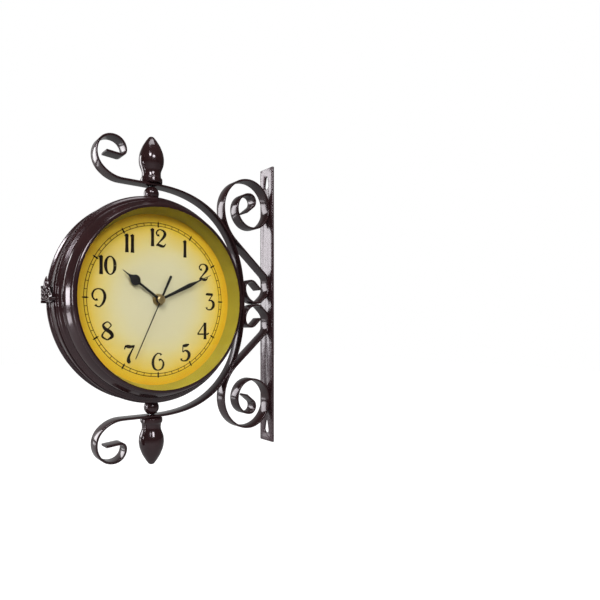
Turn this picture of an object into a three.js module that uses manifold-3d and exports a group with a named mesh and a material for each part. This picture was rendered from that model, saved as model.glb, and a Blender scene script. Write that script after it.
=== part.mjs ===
// Double sided station clock on a scrolled wall bracket, in millimetres, +Z up.
// Origin: middle of the wall bar's back face. The clock hangs towards -X and its front dial faces -Y.

import * as THREE from "three";
import { mergeVertices } from "three/addons/utils/BufferGeometryUtils.js";
import Module from "manifold-3d";

// ---------------------------------------------------------------- clearances
const restGap = 0.3;
const pivotPlay = 0.06;
const arborPlay = 0.1;

// ---------------------------------------------------------------- bracket
const barHeight = 368;
const barWidth = 25.4;
const barThickness = 3;
const keyholeEnd = 10.5;
const keyholeHeight = 17.5;
const keyholeHead = 8.6;
const keyholeNeck = 4.4;
const stripWidth = 16;
const stripThickness = 2.5;
const scrollDepth = 44.1;
const sweepClearance = 4.75;
const hoopExponent = 2.38;
const hoopStraight = 38;
const hoopCurl = [[34.8, 45], [22.1, 75], [18.65, 75], [13.8, 75], [5.9, 95]];
const hoopCurlTail = 16.4;
const scrollContact = 3;
const scrollFootBend = 16;
const scrollLean = 50;
const loopLevel = 120.9;
const loopShrink = 0.842;
const loopTurns = 5;
const loopEyeRadius = 8.7;
const loopEyeTurn = 142;
const loopTail = 13.5;
const hookFootBend = 20;
const hookLean = 49;
const hookSlope = 8;
const hookToeBend = 9;
const hookRun = 2;
const hookCurl = 9.8;
const hookCurlTurn = 132;
const hookTail = 12.5;

// ---------------------------------------------------------------- pivots
const rodDiameter = 6;
const ballDiameter = 17.6;
const finialHeight = 55.2;
const finialBase = 25.7;
const finialBelly = 29.5;
const finialBore = 16;
// Finial's foot and bud: radius as a share of half the foot or belly, and height as a share of the whole.
const finialFoot = [[0.9, 0], [1, 0.03], [1, 0.09], [0.88, 0.14], [0.87, 0.23]];
const finialBud = [[0.9, 0.37], [1, 0.5], [0.93, 0.61], [0.62, 0.77], [0.26, 0.92], [0, 1]];
const bushDiameter = 12;
const bushFlange = 17;
const bushFlangeThickness = 1.8;
const bushProud = 0.58;
const washerDiameter = 15;
const washerThickness = 1;
const nutAcross = 10;
const nutHeight = 4.7;
const rodTail = 1;

// ---------------------------------------------------------------- case
const bandRadius = 114.4;
const bandWall = 1.8;
const bandRimProud = 2.6;
const bandRimWidth = 2.7;
const rimChamfer = 0.6;
const seamDepth = 14.5;
const seamGap = 0.6;
const bezelDepth = 23.4;
const openingInset = 12.5;
const lipThickness = 0.8;
const glassInset = 11.6;
const glassThickness = 1.8;
const shelfInset = 3.8;
const linerWall = 1;
const linerFlangeThickness = 1;
const dialDepth = 16.5;
const dialThickness = 1.2;
const retainerThickness = 1;
const retainerWidth = 6;

// Bezel profiles: how far inside the band radius, and how far from seam to lip as a share of bezelDepth.
const seamBead = 1.1;
const seamInset = 0.2;
const bezelProfile = [
  [-seamBead, 0.04], [-seamBead, 0.09], [0.9, 0.145], [0.9, 0.19], [4.4, 0.25], [4.2, 0.36],
  [5.3, 0.54], [8.6, 0.77], [10.2, 0.85], [9.8, 0.91], [11.2, 0.98], [12.2, 1],
];
const bezelHollow = [[7.6, 0.55], [6.8, 0.3]];
const glassBoreEnd = 0.79;
const shelfEdgeInset = 7.4;

// ---------------------------------------------------------------- hinge and latch
const hingeAxisProud = 2.9;
const barrelDiameter = 5;
const barrelLength = 17;
const hingePinDiameter = 2;
const middleKnuckle = 6;
const leafLength = 30;
const leafThickness = 1.2;
const leafReach = 8.5;
const doorLeafReach = 4.2;
const latchAxisDepth = 12;
const latchAxisProud = 3.6;
const latchKnuckle = 4;
const latchPinDiameter = 1.8;
const latchThickness = 3;
const latchBaseThickness = 1;
const latchBaseEdge = 1;
const latchBottom = -6;
const latchMiddle = 3;
const latchKnuckleLength = 11.8;
const latchLug = 2.8;
const latchFork = 19;
const studDiameter = 3.2;
const studLevel = -2.6;
const studLength = 6.6;
const studDepth = 16.1;
const forkClearance = 0.4;
// Leafy edge of the hasp as (y, z) curves, [control, end], from its knuckle over the top to its fork.
const haspCrown = [
  [[8.8, 11.4], [7.4, 12.2]],
  [[9.4, 14.6], [6.6, 16.2]],
  [[5.6, 19.6], [2, 21.5]],
  [[-1.4, 19.2], [-2.2, 15.6]],
  [[-5.6, 16.6], [-7, 13.6]],
  [[-7.2, 11.4], [-5.8, 10.2]],
  [[-10.8, 9.8], [-12.4, 6.2]],
  [[-13.2, 4.4], [-15, 3.4]],
  [[-18.4, 3], [-latchFork, 0.4]],
];
const haspFoot = [
  [[-17, latchBottom - 0.6], [-13, latchBottom]],
  [[-7, latchBottom - 1], [-3, latchBottom + 1.4]],
  [[2, latchBottom - 0.8], [7, latchBottom + 2.6]],
];

// ---------------------------------------------------------------- works
const worksTop = 25;
const worksBottom = 31;
const worksBack = 2.4;
const worksFrontWall = 2;
const worksSideWall = 3;
const bayFloor = -13.2;
const batteryDiameter = 14;
const batteryLength = 50;
const batteryLevel = -22.2;
const batteryPlay = 0.4;
const batteryEndWall = 2.6;
const worksWidth = batteryLength + 2 * (batteryPlay + batteryEndWall);
const batteryCap = 5.4;
const batteryCapHeight = 1;
const coverThickness = 0.8;
const coverDepth = 2.1;
const coverInset = 1;
const stemDiameter = 7.9;
const stemFront = 20.3;
const stemWasherDiameter = 14;
const stemWasherThickness = 0.5;
const stemNutAcross = 12;
const stemNutHeight = 2.2;
const hourTube = 5;
const minuteTube = 3.5;
const secondPin = 1.5;
const cannonPinion = 7.4;
const motionWheel = 22.4;
const motionPinion = 5.9;
const hourWheel = 23.9;
const secondWheel = 14;
const wheelThickness = 1.2;
const wheelSpacing = 1.8;
const meshGap = 0.4;
const settingAngle = 142;
const settingShaft = 3;
const settingKnob = 13;
const settingKnobHeight = 1.6;

// ---------------------------------------------------------------- hands
const handThickness = 0.5;
const handSpacing = 1.5;
const hourLength = 54;
const hourDisc = 11.8;
const hourDiscCentre = 36;
const hourEye = 8.8;
const hourStalk = 3;
// Tapering tips: half width in millimetres, and how far along as a share of the tip or hand.
const hourSpear = [[2, 0.05], [1, 0.3], [0.6, 0.67], [0.35, 1]];
const minuteLength = 74;
const minuteWidth = 5;
const minuteEye = 7.6;
const minuteStalk = 2.8;
const minuteTaper = [[minuteWidth / 2, 0.57], [0.8, 0.75], [0.3, 1]];
const secondLength = 72.5;
const secondEye = 6;
const needleWidth = 0.8;
const counterweightLength = 30;
const counterweightWidth = 3.2;
const hubCapDiameter = 9.6;
const hubCapHeight = 1.2;
const hourAngle = -55.5;
const minuteAngle = 65.2;
const secondAngle = 205.4;

// ---------------------------------------------------------------- facets
const caseFacets = 40;
const turnedFacets = 20;
const arborFacets = 12;
const bendStep = 15;

// ---------------------------------------------------------------- worked out
const halfSeam = seamGap / 2;
const halfDepth = seamDepth + bezelDepth;
const openingRadius = bandRadius - openingInset;
const rimRadius = bandRadius + bandRimProud;
const hingeAxisRadius = rimRadius + hingeAxisProud;
const hoopReach =
  Math.hypot(hingeAxisRadius, seamDepth) + barrelDiameter / 2 + sweepClearance + stripThickness / 2;
const barFace = hoopReach + scrollDepth;
const pivotX = -(barThickness + barFace);
const rodRadius = rodDiameter / 2;
const ballBore = rodRadius + arborPlay;
const ballHalf = Math.sqrt((ballDiameter / 2) ** 2 - ballBore ** 2);
const bushTop = bandRadius + bushProud;
const ballCentre = bushTop + restGap + ballHalf;
const hoopRise = ballCentre + ballHalf + restGap + stripThickness / 2;
const finialSeat = hoopRise + stripThickness / 2 + restGap;
const bandFlat = (bandRadius - bandWall) * Math.cos(Math.PI / caseFacets);
const bushFlangeOuter = Math.sqrt(bandFlat ** 2 - (bushFlange / 2) ** 2) - restGap;
const bushFlangeInner = bushFlangeOuter - bushFlangeThickness;
const washerOuter = bushFlangeInner - restGap;
const nutOuter = washerOuter - washerThickness - restGap;
const dialBack = dialDepth - dialThickness;
const worksFront = dialBack - restGap;
const linerBack = dialDepth + restGap;
const flangeFront = linerBack + linerFlangeThickness;
const shelfFront = flangeFront + restGap;
const seatRadius = bandRadius - shelfInset;
const glassFront = halfDepth - lipThickness - restGap;
const glassBack = glassFront - glassThickness;
const linerOuter = bandRadius - glassInset - restGap;
const works = new THREE.Vector3(worksWidth / 2, worksFront - worksFrontWall, worksFront);
const hourWheelFront = works.y - wheelSpacing + wheelThickness;
const cannonFront = hourWheelFront - wheelSpacing;
const secondWheelFront = cannonFront - wheelSpacing - meshGap;
const settingDistance = (cannonPinion + motionWheel) / 2 + meshGap;
const hourHandBack = stemFront + restGap;
const minuteHandBack = hourHandBack + handSpacing;
const secondHandBack = minuteHandBack + handSpacing;

const wasm = await Module();
wasm.setup();

// ---------------------------------------------------------------- finishes
const finishes = {
  brown_paint: { color: 0x2c1c1b, roughness: 0.28, metalness: 0.1 },
  dial_print: { color: 0xefdfa8, roughness: 0.6, metalness: 0 },
  olive_gold: { color: 0x9a8c3a, roughness: 0.35, metalness: 0.5 },
  lens: { color: 0xdfe8ea, roughness: 0.05, metalness: 0 },
  hand_black: { color: 0x0b0b0c, roughness: 0.4, metalness: 0.1 },
  brass: { color: 0xb49a62, roughness: 0.35, metalness: 0.9 },
  steel: { color: 0x9a9da1, roughness: 0.35, metalness: 0.9 },
  works_black: { color: 0x1c1d1f, roughness: 0.55, metalness: 0 },
  cell_wrap: { color: 0x8c8f94, roughness: 0.4, metalness: 0.4 },
};

// ---------------------------------------------------------------- helpers
const radians = THREE.MathUtils.degToRad;
const clock = new THREE.Group();

/** Adds one named piece with a material of its own. */
function addPiece(parent, name, geometry, finish) {
  const mesh = new THREE.Mesh(geometry, new THREE.MeshStandardMaterial(finishes[finish]));
  mesh.name = name;
  parent.add(mesh);
}

/** Turns a closed geometry into a solid, without the slivers that a lathe leaves on its axis. */
function toSolid(geometry) {
  const bare = geometry.clone();
  bare.deleteAttribute("normal");
  bare.deleteAttribute("uv");
  const welded = mergeVertices(bare);
  const triangles = [];
  for (let i = 0; i < welded.index.count; i += 3) {
    const corners = [welded.index.getX(i), welded.index.getX(i + 1), welded.index.getX(i + 2)];
    if (new Set(corners).size === corners.length) {
      triangles.push(...corners);
    }
  }
  const mesh = new wasm.Mesh({
    numProp: 3,
    vertProperties: new Float32Array(welded.attributes.position.array),
    triVerts: new Uint32Array(triangles),
  });
  return new wasm.Manifold(mesh);
}

/** Gives a solid back as a geometry. */
function toGeometry(solid) {
  const mesh = solid.getMesh();
  const geometry = new THREE.BufferGeometry();
  geometry.setAttribute("position", new THREE.BufferAttribute(mesh.vertProperties, 3));
  geometry.setIndex(new THREE.BufferAttribute(mesh.triVerts, 1));
  geometry.computeVertexNormals();
  return geometry;
}

/** Joins the added geometries to the base, then cuts the others out of it. */
function shaped(base, added, removed) {
  let solid = toSolid(base);
  for (const geometry of added) {
    solid = solid.add(toSolid(geometry));
  }
  for (const geometry of removed) {
    solid = solid.subtract(toSolid(geometry));
  }
  return toGeometry(solid);
}

/** Turned piece about the Y axis: the profile holds [radius, height] and runs anticlockwise. */
function turned(profile, facets) {
  const points = profile.map(([radius, height]) => new THREE.Vector2(radius, height));
  if (THREE.ShapeUtils.area(points) < 0) {
    points.reverse();
  }
  const onAxis = points[0].x === 0 && points[points.length - 1].x === 0;
  if (!onAxis) {
    points.push(points[0].clone());
  }
  return new THREE.LatheGeometry(points, facets);
}

/** Turned piece about the Z axis, its profile heights going up. */
function turnedUpright(profile, facets) {
  return turned(profile, facets).rotateX(Math.PI / 2);
}

/** Profile of a plain ring. */
function ringProfile(inner, outer, low, high) {
  return [[inner, low], [outer, low], [outer, high], [inner, high]];
}

/** Profile of a plain disc or pin. */
function discProfile(radius, low, high) {
  return [[0, low], [radius, low], [radius, high], [0, high]];
}

/** Block between two corners. */
function block(low, high) {
  const size = high.map((value, i) => value - low[i]);
  const middle = high.map((value, i) => (value + low[i]) / 2);
  return new THREE.BoxGeometry(...size).translate(...middle);
}

/** Plate drawn in the XZ plane and extruded along Y, from y = back to y = back - thickness. */
function plate(shape, thickness, back, curveSegments = 4) {
  const options = { depth: thickness, bevelEnabled: false, curveSegments };
  return new THREE.ExtrudeGeometry(shape, options).rotateX(Math.PI / 2).translate(0, back, 0);
}

/** Hexagonal nut about the Y axis. */
function hexNut(across, bore, low, high) {
  const shape = new THREE.Shape();
  const corner = across / 2 / Math.cos(Math.PI / 6);
  for (let i = 0; i < 6; i++) {
    shape.lineTo(corner * Math.cos((i * Math.PI) / 3), corner * Math.sin((i * Math.PI) / 3));
  }
  shape.curves.shift();
  const hole = new THREE.Path();
  hole.absarc(0, 0, bore / 2, 0, 2 * Math.PI, true);
  shape.holes.push(hole);
  return plate(shape, high - low, high, turnedFacets / 2);
}

/** Copy of an upper piece, turned over to the lower side. */
function turnedOver(geometry) {
  return geometry.clone().rotateX(Math.PI);
}

// ---------------------------------------------------------------- flat centrelines
/** Direction of a heading in degrees, in the bracket's XZ plane. */
function direction(heading) {
  return new THREE.Vector2(Math.cos(radians(heading)), Math.sin(radians(heading)));
}

/** Walks a centreline. Each leg is [radius, turn] for a bend, left turns positive, or [length, 0]. */
function walk(start, heading, legs) {
  const points = [start.clone()];
  let place = start.clone();
  let course = heading;
  for (const [size, turn] of legs) {
    if (turn === 0) {
      place = place.clone().addScaledVector(direction(course), size);
      points.push(place);
      continue;
    }
    const side = Math.sign(turn);
    const centre = place.clone().addScaledVector(direction(course + side * 90), size);
    const steps = Math.ceil(Math.abs(turn) / bendStep);
    for (let i = 1; i <= steps; i++) {
      const angle = course - side * 90 + (turn * i) / steps;
      points.push(centre.clone().addScaledVector(direction(angle), size));
    }
    place = points[points.length - 1];
    course += turn;
  }
  return points;
}

/** Same centreline with its height turned over. */
function mirrored(points) {
  return points.map((point) => new THREE.Vector2(point.x, -point.y));
}

/** Strip of the bracket along a centreline. */
function bentStrip(points) {
  const sides = [[], []];
  points.forEach((point, i) => {
    const before = points[Math.max(i - 1, 0)];
    const after = points[Math.min(i + 1, points.length - 1)];
    const into = point.clone().sub(before).normalize();
    const out = after.clone().sub(point).normalize();
    const along = into.add(out).normalize();
    const normal = new THREE.Vector2(-along.y, along.x);
    const chord = i === 0 || i === points.length - 1 ? along : after.clone().sub(point).normalize();
    const half = stripThickness / 2 / Math.max(along.dot(chord), 0.5);
    sides[0].push(point.clone().addScaledVector(normal, half));
    sides[1].unshift(point.clone().addScaledVector(normal, -half));
  });
  const shape = new THREE.Shape([...sides[0], ...sides[1]]);
  return plate(shape, stripWidth, stripWidth / 2);
}

// ---------------------------------------------------------------- hoop
/** Distance of the hoop's centreline from the pivot, at a polar angle in degrees. */
function hoopPoint(angle) {
  const along = direction(angle);
  const acrossShare = Math.abs(along.x / hoopReach) ** hoopExponent;
  const upShare = Math.abs(along.y / hoopRise) ** hoopExponent;
  return along.multiplyScalar((acrossShare + upShare) ** (-1 / hoopExponent));
}

/** Upper half of the hoop's centreline, from the wall side to the end of its curl. */
function upperHoopLine() {
  const points = [];
  const steps = 20;
  for (let i = 0; i < steps; i++) {
    points.push(hoopPoint((90 * i) / steps));
  }
  const legs = [[hoopStraight, 0], ...hoopCurl.map(([radius, turn]) => [radius, -turn]), [hoopCurlTail, 0]];
  points.push(...walk(new THREE.Vector2(0, hoopRise), 180, legs));
  return points;
}

/** Upright hole through the hoop and the case at the pivot. */
function pivotHole(diameter, low, high) {
  return turnedUpright(discProfile(diameter / 2, low, high), turnedFacets);
}

function makeHoop() {
  const upper = upperHoopLine();
  const lower = mirrored(upper).slice(1).reverse();
  const strip = bentStrip([...lower, ...upper]);
  const reach = hoopRise + stripThickness;
  const holes = [pivotHole(rodDiameter + 2 * restGap, ballCentre, reach)];
  holes.push(pivotHole(rodDiameter + 2 * restGap, -reach, -ballCentre));
  return shaped(strip, [], holes);
}

// ---------------------------------------------------------------- scrolls
const contactX = barFace - restGap - stripThickness / 2;
const kissLevel = (stripThickness + restGap) / 2;
const touchDistance = stripThickness + restGap;

/** Legs of the upper loop when its left side stands at the given x, from the bar upwards. */
function loopLegs(left, foot) {
  const lean = radians(scrollLean);
  const width = contactX - left;
  const across = width - scrollFootBend * (1 - Math.cos(lean));
  const up = loopLevel - foot - scrollFootBend * Math.sin(lean);
  const bend = (up * Math.sin(lean) - across * Math.cos(lean)) / (1 - Math.cos(lean));
  const run = (across - bend * (1 - Math.cos(lean))) / Math.sin(lean);
  const legs = [[scrollFootBend, scrollLean], [run, 0], [bend, -scrollLean]];
  let radius = width / (1 + loopShrink);
  for (let i = 0; i < loopTurns; i++) {
    legs.push([radius, -90]);
    radius *= loopShrink;
  }
  legs.push([loopEyeRadius, -loopEyeTurn], [loopTail, 0]);
  return legs;
}

/** Least distance from a point to the hoop's centreline. */
function distanceToHoop(point) {
  let least = Infinity;
  for (let angle = 0; angle <= 90; angle += 0.5) {
    least = Math.min(least, hoopPoint(angle).distanceTo(point));
  }
  return least;
}

/** Leftmost x at which the loop only just touches the hoop. */
function solveLoopLeft(foot) {
  let low = hoopPoint(45).x;
  let high = contactX - scrollDepth / 2;
  for (let i = 0; i < 24; i++) {
    const left = (low + high) / 2;
    const legs = loopLegs(left, foot);
    const outer = walk(new THREE.Vector2(contactX, foot), 90, legs.slice(0, 3));
    const clear = Math.min(...outer.map(distanceToHoop)) >= touchDistance;
    if (clear) {
      high = left;
    } else {
      low = left;
    }
  }
  return high;
}

/** Centreline of the upper scroll, from its small hook to the middle of its loop. */
function upperScrollLine() {
  const lean = radians(hookLean);
  const toeTurn = 90 - hookLean;
  const toe = radians(toeTurn);
  const slope = direction(toeTurn).multiplyScalar(hookSlope);
  const drop = hookFootBend * Math.sin(lean) + slope.y + hookToeBend * (1 - Math.cos(toe));
  const start = kissLevel + drop;
  const foot = start + scrollContact;
  const inward = hookFootBend * (1 - Math.cos(lean)) + slope.x + hookToeBend * Math.sin(toe);
  const toeX = contactX - inward - hookRun;
  const hookRadius = toeX - hoopReach - touchDistance;
  const hook = walk(new THREE.Vector2(contactX, start), 270, [
    [hookFootBend, -hookLean],
    [hookSlope, 0],
    [hookToeBend, -toeTurn],
    [hookRun, 0],
    [hookRadius, -90],
    [hookCurl, -hookCurlTurn],
    [hookTail, 0],
  ]);
  const legs = loopLegs(solveLoopLeft(foot), foot);
  const loop = walk(new THREE.Vector2(contactX, foot), 90, legs);
  return [...hook.reverse(), ...loop];
}

// ---------------------------------------------------------------- wall bar
/** Teardrop keyhole, head down, as a path in the bar's plane. */
function keyhole(bottom) {
  const head = keyholeHead / 2;
  const neck = keyholeNeck / 2;
  const headZ = bottom + head;
  const neckZ = bottom + keyholeHeight - neck;
  const tilt = Math.asin((head - neck) / (neckZ - headZ));
  const path = new THREE.Path();
  path.absarc(0, headZ, head, Math.PI - tilt, 2 * Math.PI + tilt, false);
  path.absarc(0, neckZ, neck, tilt, Math.PI - tilt, false);
  path.closePath();
  return path;
}

function makeWallBar() {
  const half = barWidth / 2;
  const top = barHeight / 2;
  const shape = new THREE.Shape();
  shape.moveTo(-half, -top);
  shape.lineTo(half, -top);
  shape.lineTo(half, top);
  shape.lineTo(-half, top);
  shape.closePath();
  shape.holes.push(keyhole(top - keyholeEnd - keyholeHeight), keyhole(-top + keyholeEnd));
  return plate(shape, barThickness, 0).rotateZ(Math.PI / 2).translate(barFace, 0, 0);
}

function addBracket() {
  addPiece(clock, "wall_bar", makeWallBar(), "brown_paint");
  addPiece(clock, "hoop", makeHoop(), "brown_paint");
  const line = upperScrollLine();
  addPiece(clock, "upper_scroll", bentStrip(line), "brown_paint");
  addPiece(clock, "lower_scroll", bentStrip(mirrored(line).reverse()), "brown_paint");
}

// ---------------------------------------------------------------- pivots
/** Bud-shaped finial with a blind hole for its rod. */
function makeFinial() {
  const hole = rodRadius + arborPlay;
  const place = (width) => ([radius, share]) => [(radius * width) / 2, finialSeat + share * finialHeight];
  return turnedUpright([
    [0, finialSeat + finialBore],
    [hole, finialSeat + finialBore],
    [hole, finialSeat],
    ...finialFoot.map(place(finialBase)),
    ...finialBud.map(place(finialBelly)),
  ], turnedFacets);
}

function makeBall() {
  const profile = [];
  const steps = 6;
  const open = Math.asin(ballHalf / (ballDiameter / 2));
  for (let i = 0; i <= steps; i++) {
    const angle = -open + (2 * open * i) / steps;
    profile.push([(ballDiameter / 2) * Math.cos(angle), ballCentre + (ballDiameter / 2) * Math.sin(angle)]);
  }
  return turnedUpright(profile, turnedFacets);
}

function makeRod() {
  const low = nutOuter - nutHeight - rodTail;
  const high = finialSeat + finialBore - restGap;
  return turnedUpright(discProfile(rodRadius, low, high), turnedFacets);
}

function makeWasher() {
  const bore = rodRadius + arborPlay;
  const profile = ringProfile(bore, washerDiameter / 2, washerOuter - washerThickness, washerOuter);
  return turnedUpright(profile, turnedFacets);
}

function makeNut() {
  const bore = rodDiameter + 2 * arborPlay;
  return hexNut(nutAcross, bore, nutOuter - nutHeight, nutOuter).rotateX(Math.PI / 2);
}

function makeBush() {
  const bore = rodRadius + pivotPlay;
  const body = bushDiameter / 2;
  const flange = bushFlange / 2;
  return turnedUpright([
    [bore, bushFlangeInner],
    [flange, bushFlangeInner],
    [flange, bushFlangeOuter],
    [body, bushFlangeOuter],
    [body, bushTop],
    [bore, bushTop],
  ], turnedFacets);
}

function addPivots() {
  const pieces = {
    finial: [makeFinial(), "brown_paint"],
    ball: [makeBall(), "brown_paint"],
    rod: [makeRod(), "steel"],
    washer: [makeWasher(), "steel"],
    nut: [makeNut(), "steel"],
    bush: [makeBush(), "brass"],
  };
  for (const [name, [geometry, finish]] of Object.entries(pieces)) {
    addPiece(clock, `upper_${name}`, geometry, finish);
    addPiece(clock, `lower_${name}`, turnedOver(geometry), finish);
  }
}

// ---------------------------------------------------------------- shells
/** Point of a bezel's section. */
function bezelPoint([inset, share]) {
  return [bandRadius - inset, seamDepth + share * bezelDepth];
}

/** Section of a bezel, from the seam over the lip and back to the seat behind the dial. */
function bezelSection() {
  const bore = bandRadius - glassInset;
  return [
    ...bezelProfile.map(bezelPoint),
    [openingRadius, halfDepth],
    [openingRadius, halfDepth - lipThickness],
    [bore, halfDepth - lipThickness],
    bezelPoint([glassInset, glassBoreEnd]),
    ...bezelHollow.map(bezelPoint),
    [bandRadius - shelfEdgeInset, shelfFront],
    [seatRadius, shelfFront],
  ];
}

/** Front bezel: it turns on the hinge. */
function makeFrontShell() {
  const seam = seamDepth + halfSeam;
  const profile = [[bandRadius - seamInset, seam], ...bezelSection(), [seatRadius, seam]];
  return turned(profile, caseFacets).rotateX(Math.PI);
}

/** Band and rear bezel in one drawn shell, with holes for the two bushes. */
function makeRearShell() {
  const edge = -seamDepth + halfSeam;
  const rim = seamDepth - halfSeam;
  const step = rim - bandRimWidth;
  const shoulder = step - 2 * rimChamfer;
  const bore = bandRadius - bandWall;
  const retainerBack = dialBack - restGap - retainerThickness;
  const profile = [
    [rimRadius - rimChamfer, edge],
    [rimRadius, edge + rimChamfer],
    [rimRadius, -step],
    [bandRadius, -shoulder],
    [bandRadius, shoulder],
    [rimRadius, step],
    [rimRadius, rim - rimChamfer],
    [rimRadius - rimChamfer, rim],
    [bandRadius - rimChamfer, rim],
    [bandRadius - rimChamfer, rim + seamGap],
    ...bezelSection(),
    [seatRadius, retainerBack - restGap],
    [bore, shoulder],
    [bore, edge],
  ];
  const reach = rimRadius + restGap;
  const hole = bushDiameter + 2 * restGap;
  const inside = bandRadius - 4 * bandWall;
  const holes = [pivotHole(hole, inside, reach), pivotHole(hole, -reach, -inside)];
  return shaped(turned(profile, caseFacets), [], holes);
}

// ---------------------------------------------------------------- hinge
/** Curved plate round the case, between two depths, centred at x > 0. */
function curvedLeaf(inner, thickness, low, high, frontY, backY) {
  const shape = new THREE.Shape();
  const facets = 4;
  const from = Math.asin(low / inner);
  const to = Math.asin(high / inner);
  shape.absarc(0, 0, inner + thickness, from, to, false);
  shape.absarc(0, 0, inner, to, from, true);
  shape.closePath();
  return plate(shape, backY - frontY, backY, facets);
}

/** Upright cylinder on the hinge or latch axis. */
function knuckle(x, y, diameter, low, high) {
  return turnedUpright(discProfile(diameter / 2, low, high), arborFacets).translate(x, y, 0);
}

function addHinge(caseGroup, doorGroup) {
  const x = hingeAxisRadius;
  const y = -seamDepth;
  const end = barrelLength / 2;
  const middle = middleKnuckle / 2;
  const bore = knuckle(x, y, hingePinDiameter + 2 * arborPlay, -end - restGap, end + restGap);
  const rearInner = rimRadius + restGap;
  const half = leafLength / 2;
  const rearLeaf = curvedLeaf(rearInner, leafThickness, -half, half, y + halfSeam, y + leafReach);
  const rearKnuckles = [
    knuckle(x, y, barrelDiameter, middle + restGap, end),
    knuckle(x, y, barrelDiameter, -end, -middle - restGap),
  ];
  const clearance = knuckle(x, y, barrelDiameter + 2 * restGap, -middle - restGap, middle + restGap);
  const rear = shaped(shaped(rearLeaf, [], [clearance]), rearKnuckles, [bore]);
  addPiece(caseGroup, "hinge_leaf_rear", rear, "brown_paint");
  const doorInner = bandRadius + seamBead + restGap;
  const doorEdge = y - halfSeam;
  const frontLeaf = curvedLeaf(doorInner, leafThickness, -half, half, doorEdge - doorLeafReach, doorEdge);
  const armBase = doorInner + leafThickness / 2;
  const arm = block([armBase, y - barrelDiameter / 2, -middle], [x, doorEdge, middle]);
  const frontKnuckle = knuckle(x, y, barrelDiameter, -middle, middle);
  addPiece(doorGroup, "hinge_leaf_front", shaped(frontLeaf, [arm, frontKnuckle], [bore]), "brown_paint");
  const pin = turnedUpright(discProfile(hingePinDiameter / 2, -end, end), arborFacets).translate(x, y, 0);
  addPiece(caseGroup, "hinge_pin", pin, "steel");
}

// ---------------------------------------------------------------- latch
/** Leafy outline of the hasp, in (y, z), with its open fork at the front. */
function haspOutline() {
  const low = latchMiddle - latchKnuckleLength / 2;
  const high = latchMiddle + latchKnuckleLength / 2;
  const slot = studDiameter / 2 + forkClearance;
  const forkEnd = -studDepth + studDiameter;
  const shape = new THREE.Shape();
  const neck = latchAxisDepth - latchKnuckle / 2 - 2 * restGap;
  shape.moveTo(neck, low);
  shape.lineTo(latchAxisDepth, low);
  shape.lineTo(latchAxisDepth, high);
  shape.lineTo(neck, high);
  haspCrown.forEach(([control, end]) => shape.quadraticCurveTo(...control, ...end));
  shape.lineTo(-latchFork, studLevel + slot);
  shape.lineTo(forkEnd, studLevel + slot);
  shape.lineTo(forkEnd, studLevel - slot);
  shape.lineTo(-latchFork, studLevel - slot);
  haspFoot.forEach(([control, end]) => shape.quadraticCurveTo(...control, ...end));
  shape.closePath();
  return shape;
}

function addLatch(caseGroup, doorGroup) {
  const x = -(rimRadius + latchAxisProud);
  const y = latchAxisDepth;
  const low = latchMiddle - latchKnuckleLength / 2;
  const high = latchMiddle + latchKnuckleLength / 2;
  const half = latchKnuckle / 2;
  const bore = knuckle(x, y, latchPinDiameter + 2 * arborPlay, low - 2 * latchLug, high + 2 * latchLug);
  const inner = rimRadius + restGap;
  const baseEdges = [-high - latchLug, -low + latchLug, latchBaseEdge, seamDepth - halfSeam];
  const base = curvedLeaf(inner, latchBaseThickness, ...baseEdges).rotateY(Math.PI);
  const lugEnds = [[low - restGap - latchLug, low - restGap], [high + restGap, high + restGap + latchLug]];
  const lugs = lugEnds.map(([from, to]) => knuckle(x, y, latchKnuckle, from, to));
  const arms = lugEnds.map(([from, to]) => block([x, y - half, from], [-inner, y + half, to]));
  addPiece(caseGroup, "latch_base", shaped(base, [...lugs, ...arms], [bore]), "brown_paint");
  const flat = plate(haspOutline(), latchThickness, 0).rotateZ(Math.PI / 2);
  const hasp = flat.translate(x - latchThickness / 2, 0, 0);
  const barrel = knuckle(x, y, latchKnuckle, low, high);
  addPiece(clock, "latch_hasp", shaped(hasp, [barrel], [bore]), "brown_paint");
  const pin = discProfile(latchPinDiameter / 2, low - restGap - latchLug, high + restGap + latchLug);
  addPiece(caseGroup, "latch_pin", turnedUpright(pin, arborFacets).translate(x, y, 0), "steel");
  const beadX = Math.sqrt((bandRadius + seamBead) ** 2 - studLevel ** 2) + restGap;
  const stud = turned(discProfile(studDiameter / 2, 0, studLength), arborFacets).rotateZ(Math.PI / 2);
  addPiece(doorGroup, "catch_stud", stud.translate(-beadX, -studDepth, studLevel), "brown_paint");
}

// ---------------------------------------------------------------- one dial side, built facing +Y
function makeLiner() {
  return turned([
    [linerOuter - linerWall, linerBack],
    [seatRadius - restGap, linerBack],
    [seatRadius - restGap, flangeFront],
    [linerOuter, flangeFront],
    [linerOuter, glassBack - restGap],
    [linerOuter - linerWall, glassBack - restGap],
  ], caseFacets);
}

function makeWorksCase() {
  const half = works.x;
  const body = block([-half, worksBack, -worksBottom], [half, works.z, worksTop]);
  const stem = turned(discProfile(stemDiameter / 2, works.y, stemFront), turnedFacets);
  const bay = block(
    [-half + worksSideWall, worksBack - 1, bayFloor],
    [half - worksSideWall, works.y, worksTop - worksSideWall],
  );
  const cell = batteryDiameter / 2 + batteryPlay;
  const end = batteryLength / 2 + batteryPlay;
  const cellBay = block(
    [-end, worksBack - 1, batteryLevel - cell],
    [end, works.z + 1, batteryLevel + cell],
  );
  const bore = turned(discProfile(hourTube / 2 + arborPlay, worksBack, stemFront + 1), arborFacets);
  return shaped(body, [stem], [bay, cellBay, bore]);
}

/** Place of the setting arbor beside the centre arbor. */
function settingPlace() {
  return direction(settingAngle).multiplyScalar(settingDistance);
}

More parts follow.
